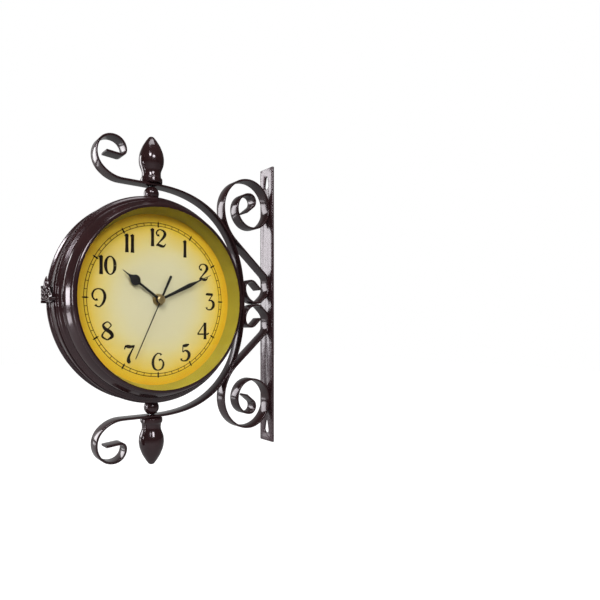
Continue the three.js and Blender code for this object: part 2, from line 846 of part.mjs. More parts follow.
function makeWorksCover() {
  const half = works.x - coverInset;
  const back = coverDepth - coverThickness;
  const sheet = block([-half, back, bayFloor], [half, coverDepth, worksTop - coverInset]);
  const place = settingPlace();
  const hole = turned(discProfile(settingShaft / 2 + arborPlay, 0, worksBack), arborFacets);
  return shaped(sheet, [], [hole.translate(place.x, 0, place.y)]);
}

function makeBattery() {
  const cap = batteryCap / 2;
  const radius = batteryDiameter / 2;
  const half = batteryLength / 2;
  const shoulder = half - batteryCapHeight;
  const middle = worksFront - radius;
  const profile = [[0, -half], [radius, -half], [radius, shoulder], [cap, shoulder], [cap, half], [0, half]];
  return turned(profile, turnedFacets).rotateZ(Math.PI / 2).translate(0, middle, batteryLevel);
}

function makeHourArbor() {
  const bore = minuteTube / 2 + arborPlay;
  const low = hourWheelFront - wheelThickness;
  return turned([
    [bore, low],
    [hourWheel / 2, low],
    [hourWheel / 2, hourWheelFront],
    [hourTube / 2, hourWheelFront],
    [hourTube / 2, hourHandBack + handThickness + restGap],
    [bore, hourHandBack + handThickness + restGap],
  ], arborFacets);
}

function makeMinuteArbor() {
  const bore = secondPin / 2 + arborPlay;
  const low = cannonFront - wheelThickness;
  return turned([
    [bore, low],
    [cannonPinion / 2, low],
    [cannonPinion / 2, cannonFront],
    [minuteTube / 2, cannonFront],
    [minuteTube / 2, minuteHandBack + handThickness + restGap],
    [bore, minuteHandBack + handThickness + restGap],
  ], arborFacets);
}

function makeSecondArbor() {
  const low = secondWheelFront - wheelThickness;
  return turned([
    [0, low],
    [secondWheel / 2, low],
    [secondWheel / 2, secondWheelFront],
    [secondPin / 2, secondWheelFront],
    [secondPin / 2, secondHandBack + handThickness],
    [0, secondHandBack + handThickness],
  ], arborFacets);
}

function makeSettingArbor() {
  const place = settingPlace();
  const knobFront = coverDepth - coverThickness - restGap;
  const shaft = settingShaft / 2;
  const wheelBack = cannonFront - wheelThickness;
  return turned([
    [0, knobFront - settingKnobHeight],
    [settingKnob / 2, knobFront - settingKnobHeight],
    [settingKnob / 2, knobFront],
    [shaft, knobFront],
    [shaft, wheelBack],
    [motionWheel / 2, wheelBack],
    [motionWheel / 2, cannonFront],
    [motionPinion / 2, cannonFront],
    [motionPinion / 2, hourWheelFront],
    [0, hourWheelFront],
  ], arborFacets).translate(place.x, 0, place.y);
}

// ---------------------------------------------------------------- hands, drawn pointing up
/** Round hole for an arbor, in a hand. */
function arborHole(diameter) {
  const hole = new THREE.Path();
  hole.absarc(0, 0, diameter / 2 + arborPlay, 0, 2 * Math.PI, true);
  return hole;
}

/** Right half of an outline, closed with its mirror image. */
function symmetric(half) {
  const left = half.map(([x, z]) => [-x, z]).reverse();
  return new THREE.Shape([...half, ...left].map(([x, z]) => new THREE.Vector2(x, z)));
}

/** Right half of the round eye on the arbor, up to the stalk of a hand. */
function eyeOutline(eye, stalk) {
  const bottom = radians(-85);
  const end = Math.acos(stalk / eye);
  return arcPoints(eye / 2, 0, bottom, end);
}

/** Points of an arc round a centre on the hand's middle line. */
function arcPoints(radius, centre, from, to) {
  const steps = 6;
  const points = [];
  for (let i = 0; i <= steps; i++) {
    const angle = from + ((to - from) * i) / steps;
    points.push([radius * Math.cos(angle), centre + radius * Math.sin(angle)]);
  }
  return points;
}

function makeHourHand() {
  const disc = hourDisc / 2;
  const shoulder = hourDiscCentre + disc;
  const start = -Math.acos(hourStalk / hourDisc);
  const end = Math.acos(hourSpear[0][0] / disc) - radians(15);
  const shape = symmetric([
    ...eyeOutline(hourEye, hourStalk),
    ...arcPoints(disc, hourDiscCentre, start, end),
    ...hourSpear.map(([half, share]) => [half, shoulder + share * (hourLength - shoulder)]),
  ]);
  shape.holes.push(arborHole(hourTube));
  return shape;
}

function makeMinuteHand() {
  const taper = minuteTaper.map(([half, share]) => [half, share * minuteLength]);
  const shape = symmetric([...eyeOutline(minuteEye, minuteStalk), ...taper]);
  shape.holes.push(arborHole(minuteTube));
  return shape;
}

function makeSecondHand() {
  const needle = needleWidth / 2;
  const weight = counterweightWidth / 2;
  const eye = secondEye / 2;
  const shape = symmetric([
    [needle, -counterweightLength],
    [weight, weight - counterweightLength],
    [weight, -eye],
    [eye, -weight],
    [eye, weight],
    [needle, eye],
    [needle, secondLength],
  ]);
  shape.holes.push(arborHole(secondPin));
  return shape;
}

/** Hand as a thin plate on the front of the dial, turned clockwise from twelve. */
function flatHand(shape, back, angle) {
  const facets = arborFacets / 2;
  return plate(shape, handThickness, back + handThickness, facets).rotateY(-radians(angle));
}

function makeHubCap() {
  const back = secondHandBack + handThickness + restGap;
  const radius = hubCapDiameter / 2;
  return turned([
    [0, back],
    [radius, back],
    [radius, back + 0.5 * hubCapHeight],
    [0.75 * radius, back + hubCapHeight],
    [0, back + hubCapHeight],
  ], turnedFacets);
}

/** Adds one side's glass, dial, works and hands. */
function addSide(side, turn) {
  const group = new THREE.Group();
  group.rotation.z = turn;
  clock.add(group);
  const add = (name, geometry, finish) => addPiece(group, `${side}_${name}`, geometry, finish);
  const seat = seatRadius - restGap;
  const retainerFront = dialBack - restGap;
  const retainer = ringProfile(seat - retainerWidth, seat, retainerFront - retainerThickness, retainerFront);
  const stemBore = stemDiameter / 2 + restGap;
  const washerFront = dialDepth + restGap + stemWasherThickness;
  const nutBack = washerFront + restGap;
  add("glass", turned(discProfile(linerOuter, glassBack, glassFront), caseFacets), "lens");
  add("rim_liner", makeLiner(), "olive_gold");
  add("dial", turned(ringProfile(stemBore, seat, dialBack, dialDepth), caseFacets), "dial_print");
  add("retainer", turned(retainer, caseFacets), "steel");
  add("movement_case", makeWorksCase(), "works_black");
  add("movement_cover", makeWorksCover(), "works_black");
  add("battery", makeBattery(), "cell_wrap");
  const washer = ringProfile(stemBore, stemWasherDiameter / 2, dialDepth + restGap, washerFront);
  add("stem_washer", turned(washer, turnedFacets), "brass");
  add("stem_nut", hexNut(stemNutAcross, 2 * stemBore, nutBack, nutBack + stemNutHeight), "brass");
  add("setting_arbor", makeSettingArbor(), "works_black");
  add("hour_arbor", makeHourArbor(), "brass");
  add("minute_arbor", makeMinuteArbor(), "brass");
  add("second_arbor", makeSecondArbor(), "steel");
  add("hour_hand", flatHand(makeHourHand(), hourHandBack, hourAngle), "hand_black");
  add("minute_hand", flatHand(makeMinuteHand(), minuteHandBack, minuteAngle), "hand_black");
  add("second_hand", flatHand(makeSecondHand(), secondHandBack, secondAngle), "hand_black");
  add("hub_cap", makeHubCap(), "brass");
}

// ---------------------------------------------------------------- assembly
addBracket();
addPivots();
addPiece(clock, "rear_shell", makeRearShell(), "brown_paint");
addPiece(clock, "front_shell", makeFrontShell(), "brown_paint");
addHinge(clock, clock);
addLatch(clock, clock);
addSide("rear", 0);
addSide("front", Math.PI);
clock.position.x = pivotX;

export default clock;
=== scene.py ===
"""Looks of a double sided station clock that swivels in a curled hoop on a scrolled wall bar.

Sizes are in millimetres unless a name says otherwise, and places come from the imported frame.
"""
import logging
import math
from collections.abc import Sequence
from dataclasses import dataclass, field
from enum import Enum
from itertools import pairwise

import bmesh
import bpy
from mathutils import Matrix, Vector


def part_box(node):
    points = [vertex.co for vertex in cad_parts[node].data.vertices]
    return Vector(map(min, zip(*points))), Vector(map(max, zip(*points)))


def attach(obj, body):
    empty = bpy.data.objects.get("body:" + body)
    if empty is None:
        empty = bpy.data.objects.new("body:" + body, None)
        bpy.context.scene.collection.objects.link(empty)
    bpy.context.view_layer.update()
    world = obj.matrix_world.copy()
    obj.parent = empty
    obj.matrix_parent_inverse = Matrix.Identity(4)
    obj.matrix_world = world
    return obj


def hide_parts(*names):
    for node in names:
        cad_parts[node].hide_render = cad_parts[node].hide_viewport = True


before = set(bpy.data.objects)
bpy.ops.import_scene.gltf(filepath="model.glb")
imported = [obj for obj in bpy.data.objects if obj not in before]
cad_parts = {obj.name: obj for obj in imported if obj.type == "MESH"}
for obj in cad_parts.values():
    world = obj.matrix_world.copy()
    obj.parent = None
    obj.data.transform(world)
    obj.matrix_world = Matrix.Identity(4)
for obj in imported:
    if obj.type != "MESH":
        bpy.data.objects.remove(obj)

log = logging.getLogger("station_clock")

Point = tuple[float, float]
Triple = tuple[float, float, float]

MM = 0.001
# Least turn of a corner that is rounded, in radians, and the most of a side that one rounding takes.
LEAST_TURN = 0.01
MOST_REACH = 0.49
# Steps round a hand's hole, and along its eye and its disc.
BORE_STEPS = 24
EYE_STEPS = 14
# Degrees over which an edge of a turned piece stays sharp.
TURNED_SHARP = 40.0
# Scale of the broad waves of a sprayed surface, as a share of the fine ones' scale.
BROAD_SCALE = 0.17


# ------------------------------------------------------------------ choices
class Body(str, Enum):
    """Bodies of the frame that pieces ride on."""

    BRACKET = "bracket"
    CASE = "case"
    DOOR = "front_door"
    LATCH = "latch"


class Side(Enum):
    """The two faces of the clock, with the sign of their outward direction along Y."""

    FRONT = -1
    REAR = 1

    @property
    def label(self) -> str:
        """Name that the side's nodes and bodies start with."""
        return self.name.lower()

    @property
    def body(self) -> Body:
        """Body that carries the side's dial."""
        return Body.DOOR if self is Side.FRONT else Body.CASE


class End(Enum):
    """Upper or lower end of the pivot, with the sign of its height."""

    UPPER = 1
    LOWER = -1

    @property
    def label(self) -> str:
        """Name that the end's nodes start with."""
        return self.name.lower()


# ------------------------------------------------------------------ node trees
class Tree:
    """Short hand for placing and joining the nodes of one node tree."""

    def __init__(self, tree: bpy.types.NodeTree) -> None:
        """Keep the tree that nodes go into.

        Args:
            tree: A shader or geometry node tree.
        """
        self.tree = tree

    def add(self, kind: str, **settings: object) -> bpy.types.Node:
        """Place a node.

        Args:
            kind: The node's type name.
            **settings: Properties of the node.

        Returns:
            The new node.
        """
        node = self.tree.nodes.new(kind)
        for name, value in settings.items():
            setattr(node, name, value)
        return node

    def fill(self, node: bpy.types.Node, **values: object) -> bpy.types.Node:
        """Set inputs of a node by name, or join them where the value is a socket.

        Args:
            node: The node.
            **values: Input names, with _ for a space, and their values or sources.

        Returns:
            The same node.
        """
        for name, value in values.items():
            self.put(node.inputs[name.replace("_", " ")], value)
        return node

    def put(self, socket: bpy.types.NodeSocket, value: object) -> None:
        """Give a socket a value, or join it to a source.

        Args:
            socket: The input socket.
            value: A plain value, or an output socket.
        """
        if isinstance(value, bpy.types.NodeSocket):
            self.tree.links.new(value, socket)
        else:
            socket.default_value = value

    def sums(self, operation: str, *values: object) -> bpy.types.NodeSocket:
        """Place a Math node.

        Args:
            operation: Name of the sum.
            *values: Its inputs in order.

        Returns:
            The result.
        """
        node = self.add("ShaderNodeMath", operation=operation)
        for socket, value in zip(node.inputs, values):
            self.put(socket, value)
        return node.outputs[0]

    def ramp(self, factor: object, stops: Sequence[tuple[float, tuple]]) -> bpy.types.NodeSocket:
        """Place a colour ramp.

        Args:
            factor: What drives the ramp.
            stops: Places from 0 to 1 and their linear colours.

        Returns:
            The colour.
        """
        node = self.add("ShaderNodeValToRGB")
        band = node.color_ramp
        while len(band.elements) < len(stops):
            band.elements.new(1.0)
        for element, (place, colour) in zip(band.elements, stops):
            element.position = place
            element.color = (*colour, 1.0)
        self.put(node.inputs[0], factor)
        return node.outputs[0]

    def blend(self, factor: object, first: object, second: object, mode: str = "MIX") -> bpy.types.NodeSocket:
        """Place a colour Mix node.

        Args:
            factor: Share of the second colour.
            first: Colour or source.
            second: Colour or source.
            mode: Blend mode.

        Returns:
            The mixed colour.
        """
        node = self.add("ShaderNodeMix", data_type="RGBA", blend_type=mode)
        colours = [socket for socket in node.inputs if socket.type == "RGBA"]
        self.put(node.inputs[0], factor)
        self.put(colours[0], as_colour(first))
        self.put(colours[1], as_colour(second))
        return next(socket for socket in node.outputs if socket.type == "RGBA")


def as_colour(value: object) -> object:
    """Give a plain colour its alpha.

    Args:
        value: Three numbers, or a socket.

    Returns:
        Four numbers, or the same socket.
    """
    if isinstance(value, tuple) and len(value) == 3:
        return (*value, 1.0)
    return value


def srgb(red: int, green: int, blue: int) -> Triple:
    """Turn a colour as seen on a screen into linear light.

    Args:
        red: Red from 0 to 255.
        green: Green from 0 to 255.
        blue: Blue from 0 to 255.

    Returns:
        The linear colour.
    """
    def linear(value: int) -> float:
        """Linear light of one channel."""
        share = value / 255
        return share / 12.92 if share <= 0.04045 else ((share + 0.055) / 1.055) ** 2.4

    return (linear(red), linear(green), linear(blue))


class Effect(Enum):
    """Shader effects that more than one finish uses."""

    ORANGE_PEEL = "orange_peel"
    TONES = "tones"
    DUST = "dust"


def effect_group(effect: Effect) -> bpy.types.NodeTree:
    """Build the node group of an effect once.

    Args:
        effect: Which effect.

    Returns:
        The node group.
    """
    known = bpy.data.node_groups.get(effect.value)
    if known is not None:
        return known
    group = bpy.data.node_groups.new(effect.value, "ShaderNodeTree")
    builders = {Effect.ORANGE_PEEL: build_orange_peel, Effect.TONES: build_tones, Effect.DUST: build_dust}
    builders[effect](group)
    return group


def group_socket(
    group: bpy.types.NodeTree, name: str, kind: str, value: object = None, out: bool = False,
) -> None:
    """Add a named socket to a node group.

    Args:
        group: The group.
        name: The socket's name.
        kind: Its type, such as Float.
        value: Its default, or None.
        out: True for an output.
    """
    direction = "OUTPUT" if out else "INPUT"
    socket = group.interface.new_socket(name, in_out=direction, socket_type=f"NodeSocket{kind}")
    if value is not None:
        socket.default_value = value


def build_orange_peel(group: bpy.types.NodeTree) -> None:
    """Fine and broad waviness of sprayed or cast surfaces.

    Args:
        group: The empty group.
    """
    group_socket(group, "Scale", "Float", 900.0)
    group_socket(group, "Broad", "Float", 0.3)
    group_socket(group, "Height", "Float", out=True)
    tree = Tree(group)
    ins = tree.add("NodeGroupInput")
    place = tree.add("ShaderNodeTexCoord").outputs["Object"]
    fine = tree.fill(tree.add("ShaderNodeTexNoise"), Vector=place, Scale=ins.outputs["Scale"], Detail=2.0)
    wide_scale = tree.sums("MULTIPLY", ins.outputs["Scale"], BROAD_SCALE)
    wide = tree.fill(tree.add("ShaderNodeTexNoise"), Vector=place, Scale=wide_scale, Detail=1.0)
    wide_part = tree.sums("MULTIPLY", wide.outputs[0], ins.outputs["Broad"])
    total = tree.sums("ADD", fine.outputs[0], wide_part)
    outs = tree.add("NodeGroupOutput")
    tree.put(outs.inputs["Height"], total)


def build_tones(group: bpy.types.NodeTree) -> None:
    """Slow change between two colours over the surface.

    Args:
        group: The empty group.
    """
    group_socket(group, "First", "Color", (0.5, 0.5, 0.5, 1.0))
    group_socket(group, "Second", "Color", (0.4, 0.4, 0.4, 1.0))
    group_socket(group, "Scale", "Float", 20.0)
    group_socket(group, "Color", "Color", out=True)
    group_socket(group, "Mask", "Float", out=True)
    tree = Tree(group)
    ins = tree.add("NodeGroupInput")
    place = tree.add("ShaderNodeTexCoord").outputs["Object"]
    noise = tree.fill(
        tree.add("ShaderNodeTexNoise"), Vector=place, Scale=ins.outputs["Scale"], Detail=4.0, Roughness=0.6,
    )
    mask = tree.add("ShaderNodeMapRange")
    tree.fill(mask, Value=noise.outputs[0], From_Min=0.35, From_Max=0.65)
    outs = tree.add("NodeGroupOutput")
    tree.put(outs.inputs["Color"], tree.blend(mask.outputs[0], ins.outputs["First"], ins.outputs["Second"]))
    tree.put(outs.inputs["Mask"], mask.outputs[0])


def build_dust(group: bpy.types.NodeTree) -> None:
    """Specks that roughen a gloss here and there.

    Args:
        group: The empty group.
    """
    group_socket(group, "Scale", "Float", 400.0)
    group_socket(group, "Clean", "Float", 0.2)
    group_socket(group, "Dull", "Float", 0.4)
    group_socket(group, "Roughness", "Float", out=True)
    tree = Tree(group)
    ins = tree.add("NodeGroupInput")
    place = tree.add("ShaderNodeTexCoord").outputs["Object"]
    noise = tree.fill(tree.add("ShaderNodeTexNoise"), Vector=place, Scale=ins.outputs["Scale"], Detail=5.0)
    spread = tree.add("ShaderNodeMapRange")
    tree.fill(spread, Value=noise.outputs[0], From_Min=0.4, From_Max=0.75)
    tree.put(spread.inputs["To Min"], ins.outputs["Clean"])
    tree.put(spread.inputs["To Max"], ins.outputs["Dull"])
    outs = tree.add("NodeGroupOutput")
    tree.put(outs.inputs["Roughness"], spread.outputs[0])


# ------------------------------------------------------------------ finishes
@dataclass(frozen=True)
class Finish:
    """A finish with two close tones, a gloss and a fine surface."""

    name: str
    slot: str
    colour: Triple
    second: Triple
    tone_scale: float = 40.0
    rough: float = 0.3
    rough_spread: float = 0.1
    metallic: float = 0.0
    coat: float = 0.0
    coat_rough: float = 0.05
    bump_scale: float = 900.0
    bump_broad: float = 0.3
    bump_strength: float = 0.1
    bump_height: float = 0.05
    specular: float = 0.5
    gloss_tint: Triple = (1.0, 1.0, 1.0)

    def material(self) -> bpy.types.Material:
        """Build the material once.

        Returns:
            The material.
        """
        known = bpy.data.materials.get(self.name)
        if known is not None:
            return known
        material = bpy.data.materials.new(self.name)
        material.use_nodes = True
        tree = Tree(material.node_tree)
        shader = material.node_tree.nodes["Principled BSDF"]
        tree.fill(
            shader,
            Base_Color=self.base(tree),
            Roughness=self.gloss(tree),
            Metallic=self.metallic,
            Coat_Weight=self.coat,
            Coat_Roughness=self.coat_rough,
            Specular_IOR_Level=self.specular,
            Specular_Tint=as_colour(self.gloss_tint),
        )
        self.relief(tree, shader)
        self.extras(tree, shader)
        return material

    def base(self, tree: Tree) -> bpy.types.NodeSocket:
        """Colour over the surface.

        Args:
            tree: The material's tree.

        Returns:
            The colour.
        """
        tones = tree.add("ShaderNodeGroup", node_tree=effect_group(Effect.TONES))
        tree.fill(tones, First=as_colour(self.colour), Second=as_colour(self.second), Scale=self.tone_scale)
        return tones.outputs["Color"]

    def gloss(self, tree: Tree) -> bpy.types.NodeSocket:
        """Roughness over the surface.

        Args:
            tree: The material's tree.

        Returns:
            The roughness.
        """
        dust = tree.add("ShaderNodeGroup", node_tree=effect_group(Effect.DUST))
        tree.fill(dust, Clean=self.rough, Dull=self.rough + self.rough_spread)
        return dust.outputs["Roughness"]

    def relief(self, tree: Tree, shader: bpy.types.Node) -> None:
        """Fine relief of the surface.

        Args:
            tree: The material's tree.
            shader: Its Principled BSDF.
        """
        peel = tree.add("ShaderNodeGroup", node_tree=effect_group(Effect.ORANGE_PEEL))
        tree.fill(peel, Scale=self.bump_scale, Broad=self.bump_broad)
        self.bump(tree, shader, peel.outputs["Height"], self.bump_height)

    def bump(self, tree: Tree, shader: bpy.types.Node, height: bpy.types.NodeSocket, depth: float) -> None:
        """Join a height to the shader's normal.

        Args:
            tree: The material's tree.
            shader: Its Principled BSDF.
            height: The height's source.
            depth: How deep it is, in millimetres.
        """
        bump = tree.add("ShaderNodeBump")
        tree.fill(bump, Height=height, Strength=self.bump_strength, Distance=depth * MM)
        tree.put(shader.inputs["Normal"], bump.outputs[0])

    def extras(self, tree: Tree, shader: bpy.types.Node) -> None:
        """What a special finish adds; the plain one adds nothing."""


@dataclass(frozen=True)
class DialPrint(Finish):
    """Printed dial: its first colour in the middle, its second at the edge, slightly clouded."""

    radius: float = 100.0
    between: tuple[tuple[float, Triple], ...] = (
        (0.42, srgb(211, 203, 163)),
        (0.56, srgb(214, 202, 147)),
        (0.68, srgb(217, 197, 120)),
        (0.77, srgb(220, 191, 92)),
        (0.84, srgb(218, 184, 54)),
        (0.9, srgb(216, 174, 38)),
    )
    wander: float = 0.05
    cloud_share: float = 0.06

    def base(self, tree: Tree) -> bpy.types.NodeSocket:
        """Colour by the distance from the dial's centre.

        Args:
            tree: The material's tree.

        Returns:
            The colour.
        """
        place = tree.add("ShaderNodeTexCoord").outputs["Object"]
        centre = tree.add("ShaderNodeVectorMath", operation="SUBTRACT")
        tree.put(centre.inputs[0], place)
        tree.put(centre.inputs[1], Vector((ClockSizes.pivot_x(), 0, 0)))
        flat = tree.add("ShaderNodeVectorMath", operation="MULTIPLY")
        tree.put(flat.inputs[0], centre.outputs[0])
        tree.put(flat.inputs[1], (1.0, 0.0, 1.0))
        away = tree.add("ShaderNodeVectorMath", operation="LENGTH")
        tree.put(away.inputs[0], flat.outputs[0])
        share = tree.sums("DIVIDE", away.outputs["Value"], self.radius * MM)
        cloud = tree.add("ShaderNodeGroup", node_tree=effect_group(Effect.TONES))
        tree.fill(cloud, Scale=self.tone_scale)
        wander = tree.sums("MULTIPLY_ADD", cloud.outputs["Mask"], self.wander, -self.wander / 2)
        stops = ((0.0, self.colour), *self.between, (1.0, self.second))
        colour = tree.ramp(tree.sums("ADD", share, wander), stops)
        return tree.blend(self.cloud_share, colour, cloud.outputs["Color"], "MULTIPLY")


@dataclass(frozen=True)
class HammeredPaint(Finish):
    """Gloss paint over a hammered bar, with small round dents."""

    dent_scale: float = 190.0
    dent_height: float = 0.22
    dent_softness: float = 0.6
    peel_share: float = 0.25

    def relief(self, tree: Tree, shader: bpy.types.Node) -> None:
        """Dents and a little waviness.

        Args:
            tree: The material's tree.
            shader: Its Principled BSDF.
        """
        place = tree.add("ShaderNodeTexCoord").outputs["Object"]
        dents = tree.add("ShaderNodeTexVoronoi", feature="SMOOTH_F1")
        tree.fill(dents, Vector=place, Scale=self.dent_scale, Smoothness=self.dent_softness)
        peel = tree.add("ShaderNodeGroup", node_tree=effect_group(Effect.ORANGE_PEEL))
        tree.fill(peel, Scale=self.bump_scale, Broad=self.bump_broad)
        height = tree.sums("MULTIPLY_ADD", peel.outputs["Height"], self.peel_share, dents.outputs["Distance"])
        self.bump(tree, shader, height, self.dent_height)


@dataclass(frozen=True)
class ClearLens(Finish):
    """Clear glass that lets lamp light through to the dial."""

    shadow: float = 0.04
    bending: float = 1.45

    def gloss(self, tree: Tree) -> float:
        """One roughness over the whole glass."""
        return self.rough

    def relief(self, tree: Tree, shader: bpy.types.Node) -> None:
        """Flat glass has no relief."""

    def extras(self, tree: Tree, shader: bpy.types.Node) -> None:
        """Make it glass, and nearly clear to shadow rays.

        Args:
            tree: The material's tree.
            shader: Its Principled BSDF.
        """
        tree.fill(shader, Transmission_Weight=1.0, IOR=self.bending)
        path = tree.add("ShaderNodeLightPath")
        clear = tree.sums("MULTIPLY", path.outputs["Is Shadow Ray"], 1.0 - self.shadow)
        tree.put(shader.inputs["Alpha"], tree.sums("SUBTRACT", 1.0, clear))


BROWN = Finish(
    "brown_gloss_paint", "brown_paint", srgb(44, 24, 25), srgb(37, 20, 21), tone_scale=30.0,
    rough=0.14, rough_spread=0.06, coat=0.35, coat_rough=0.04, specular=0.6, gloss_tint=(1.0, 0.88, 0.97),
    bump_scale=700.0, bump_broad=0.5, bump_strength=0.05, bump_height=0.03,
)
HAMMERED = HammeredPaint(
    "brown_hammered_paint", "brown_paint", srgb(58, 37, 40), srgb(47, 29, 31), tone_scale=60.0,
    rough=0.22, coat=0.5, coat_rough=0.1, specular=0.8, gloss_tint=(1.0, 0.9, 1.0),
    bump_scale=1200.0, bump_broad=0.6, bump_strength=0.5,
)
DIAL = DialPrint(
    "printed_dial", "dial_print", srgb(211, 205, 172), srgb(212, 158, 28), tone_scale=28.0,
    rough=0.5, rough_spread=0.15, specular=0.1,
)
INK = Finish(
    "brown_black_ink", "hand_black", srgb(20, 10, 7), srgb(28, 16, 11), tone_scale=160.0,
    rough=0.6, rough_spread=0.12, specular=0.1,
)
OLIVE = Finish(
    "olive_gold_paint", "olive_gold", srgb(164, 151, 48), srgb(152, 138, 40), tone_scale=24.0,
    rough=0.42, specular=0.15, bump_scale=1500.0, bump_strength=0.12, bump_height=0.04,
)
LENS = ClearLens("clear_lens", "lens", (0.985, 0.99, 0.985), (0.97, 0.98, 0.975), tone_scale=12.0, rough=0.0)
HANDS = Finish(
    "black_lacquer", "hand_black", srgb(12, 10, 11), srgb(18, 15, 15), tone_scale=90.0,
    rough_spread=0.12, coat=0.2, coat_rough=0.1,
)
BRASS = Finish(
    "satin_brass", "brass", srgb(196, 172, 122), srgb(164, 142, 96), tone_scale=180.0,
    rough_spread=0.2, metallic=1.0, bump_scale=2600.0, bump_strength=0.2, bump_height=0.03,
)
STEEL = Finish(
    "zinc_steel", "steel", srgb(176, 178, 182), srgb(150, 152, 158), tone_scale=260.0, rough=0.28,
    rough_spread=0.2, metallic=1.0, bump_scale=3000.0, bump_broad=0.4, bump_strength=0.2, bump_height=0.03,
)
MOULDING = Finish(
    "black_moulding", "works_black", srgb(28, 29, 31), srgb(36, 37, 39), tone_scale=120.0,
    rough=0.5, rough_spread=0.15, bump_scale=4200.0, bump_broad=0.2, bump_strength=0.5,
)
CELL = Finish(
    "grey_cell_wrap", "cell_wrap", srgb(128, 132, 138), srgb(112, 116, 122), tone_scale=60.0,
    metallic=0.6, coat=0.3, coat_rough=0.1,
)


# ------------------------------------------------------------------ places from the frame
class ClockSizes:
    """Places that several sub-assemblies share, read from the frame's boxes, in metres."""

    @staticmethod
    def pivot_x() -> float:
        """X of the swivel axis."""
        low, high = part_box("upper_rod")
        return (low[0] + high[0]) / 2

    @staticmethod
    def depth(node: str) -> tuple[float, float]:
        """How far a node is from the middle plane of the case.

        Args:
            node: The node's name.

        Returns:
            Its nearest and its furthest distance.
        """
        low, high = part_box(node)
        near, far = sorted((abs(low[1]), abs(high[1])))
        return near, far

    @staticmethod
    def radius(node: str) -> float:
        """Half the width of a round node."""
        low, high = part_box(node)
        return (high[2] - low[2]) / 2

    @staticmethod
    def side_frame(side: Side) -> Matrix:
        """Turn a dial's own right, up and outward directions into the row frame.

        Args:
            side: Which face.

        Returns:
            The frame, with its middle on the swivel axis.
        """
        sign = side.value
        return Matrix((
            (-sign, 0, 0, ClockSizes.pivot_x()),
            (0, 0, sign, 0),
            (0, 1, 0, 0),
            (0, 0, 0, 1),
        ))


# ------------------------------------------------------------------ mesh making
def finish_mesh(name: str, mesh: bpy.types.Mesh, finish: Finish, sharp: float = 32.0) -> bpy.types.Object:
    """Make an object of a mesh, smooth it up to an angle and give it its finish.

    Args:
        name: The piece's name.
        mesh: Its mesh, in place.
        finish: Its finish.
        sharp: Edges steeper than this many degrees stay sharp.

    Returns:
        The object.
    """
    piece = bpy.data.objects.new(name, mesh)
    bpy.context.scene.collection.objects.link(piece)
    mesh.materials.clear()
    mesh.materials.append(finish.material())
    for face in mesh.polygons:
        face.use_smooth = True
        face.material_index = 0
    mesh.set_sharp_from_angle(angle=math.radians(sharp))
    log.info("made %s with %d faces", name, len(mesh.polygons))
    return piece


def clean_mesh(mesh: bpy.types.Mesh, merge: float = 0.0005) -> bpy.types.Mesh:
    """Merge doubles and turn the faces outwards.

    Args:
        mesh: The mesh.
        merge: Distance under which points are one, in millimetres.

    Returns:
        The same mesh.
    """
    body = bmesh.new()
    body.from_mesh(mesh)
    bmesh.ops.remove_doubles(body, verts=body.verts, dist=merge * MM)
    bmesh.ops.recalc_face_normals(body, faces=body.faces)
    body.to_mesh(mesh)
    body.free()
    return mesh


@dataclass(frozen=True)
class Corner:
    """Corner of an outline with the radius of its rounding."""

    x: float
    y: float
    round: float = 0.0


def rounded(corners: Sequence[Corner], closed: bool, step: float = 12.0) -> list[Point]:
    """Round the corners of an outline.

    Args:
        corners: The corners in order.
        closed: True where the last corner joins the first.
        step: Degrees turned per point of a rounding.

    Returns:
        The outline's points.
    """
    points: list[Point] = []
    count = len(corners)
    for i, corner in enumerate(corners):
        here = Vector((corner.x, corner.y))
        at_end = not closed and i in (0, count - 1)
        if corner.round == 0 or at_end:
            points.append((corner.x, corner.y))
            continue
        before = Vector((corners[i - 1].x, corners[i - 1].y)) - here
        after = Vector((corners[(i + 1) % count].x, corners[(i + 1) % count].y)) - here
        turn = math.pi - before.angle(after)
        if turn < LEAST_TURN:
            points.append((corner.x, corner.y))
            continue
        reach = corner.round * math.tan(turn / 2)
        reach = min(reach, MOST_REACH * before.length, MOST_REACH * after.length)
        start = here + before.normalized() * reach
        end = here + after.normalized() * reach
        steps = max(2, math.ceil(math.degrees(turn) / step))
        for k in range(steps + 1):
            t = k / steps
            place = start * (1 - t) ** 2 + here * (2 * t * (1 - t)) + end * t**2
            points.append((place.x, place.y))
    return points


def lathe_mesh(name: str, profile: Sequence[Point], frame_matrix: Matrix, steps: int = 160) -> bpy.types.Mesh:
    """Turn a profile about the local Z axis.

    Args:
        name: The mesh's name.
        profile: (radius, height) points in millimetres, closed, or open with both ends on the axis.
        frame_matrix: Where the local frame stands in the row frame, in metres.
        steps: Steps round the axis.

    Returns:
        The closed mesh.
    """
    open_profile = profile[0][0] == 0 and profile[-1][0] == 0
    verts: list[Vector] = []
    rings: list[list[int]] = []
    for radius, height in profile:
        if radius == 0:
            verts.append(Vector((0, 0, height * MM)))
            rings.append([len(verts) - 1] * steps)
            continue
        first = len(verts)
        for k in range(steps):
            angle = 2 * math.pi * k / steps
            verts.append(Vector((radius * math.cos(angle), radius * math.sin(angle), height)) * MM)
        rings.append(list(range(first, first + steps)))
    if not open_profile:
        rings.append(rings[0])
    faces = []
    for low, high in pairwise(rings):
        for k in range(steps):
            after = (k + 1) % steps
            loop = [low[k], low[after], high[after], high[k]]
            loop = [v for i, v in enumerate(loop) if v != loop[i - 1]]
            if len(loop) > 2:
                faces.append(loop)
    mesh = bpy.data.meshes.new(name)
    mesh.from_pydata([frame_matrix @ v for v in verts], [], faces)
    return clean_mesh(mesh)


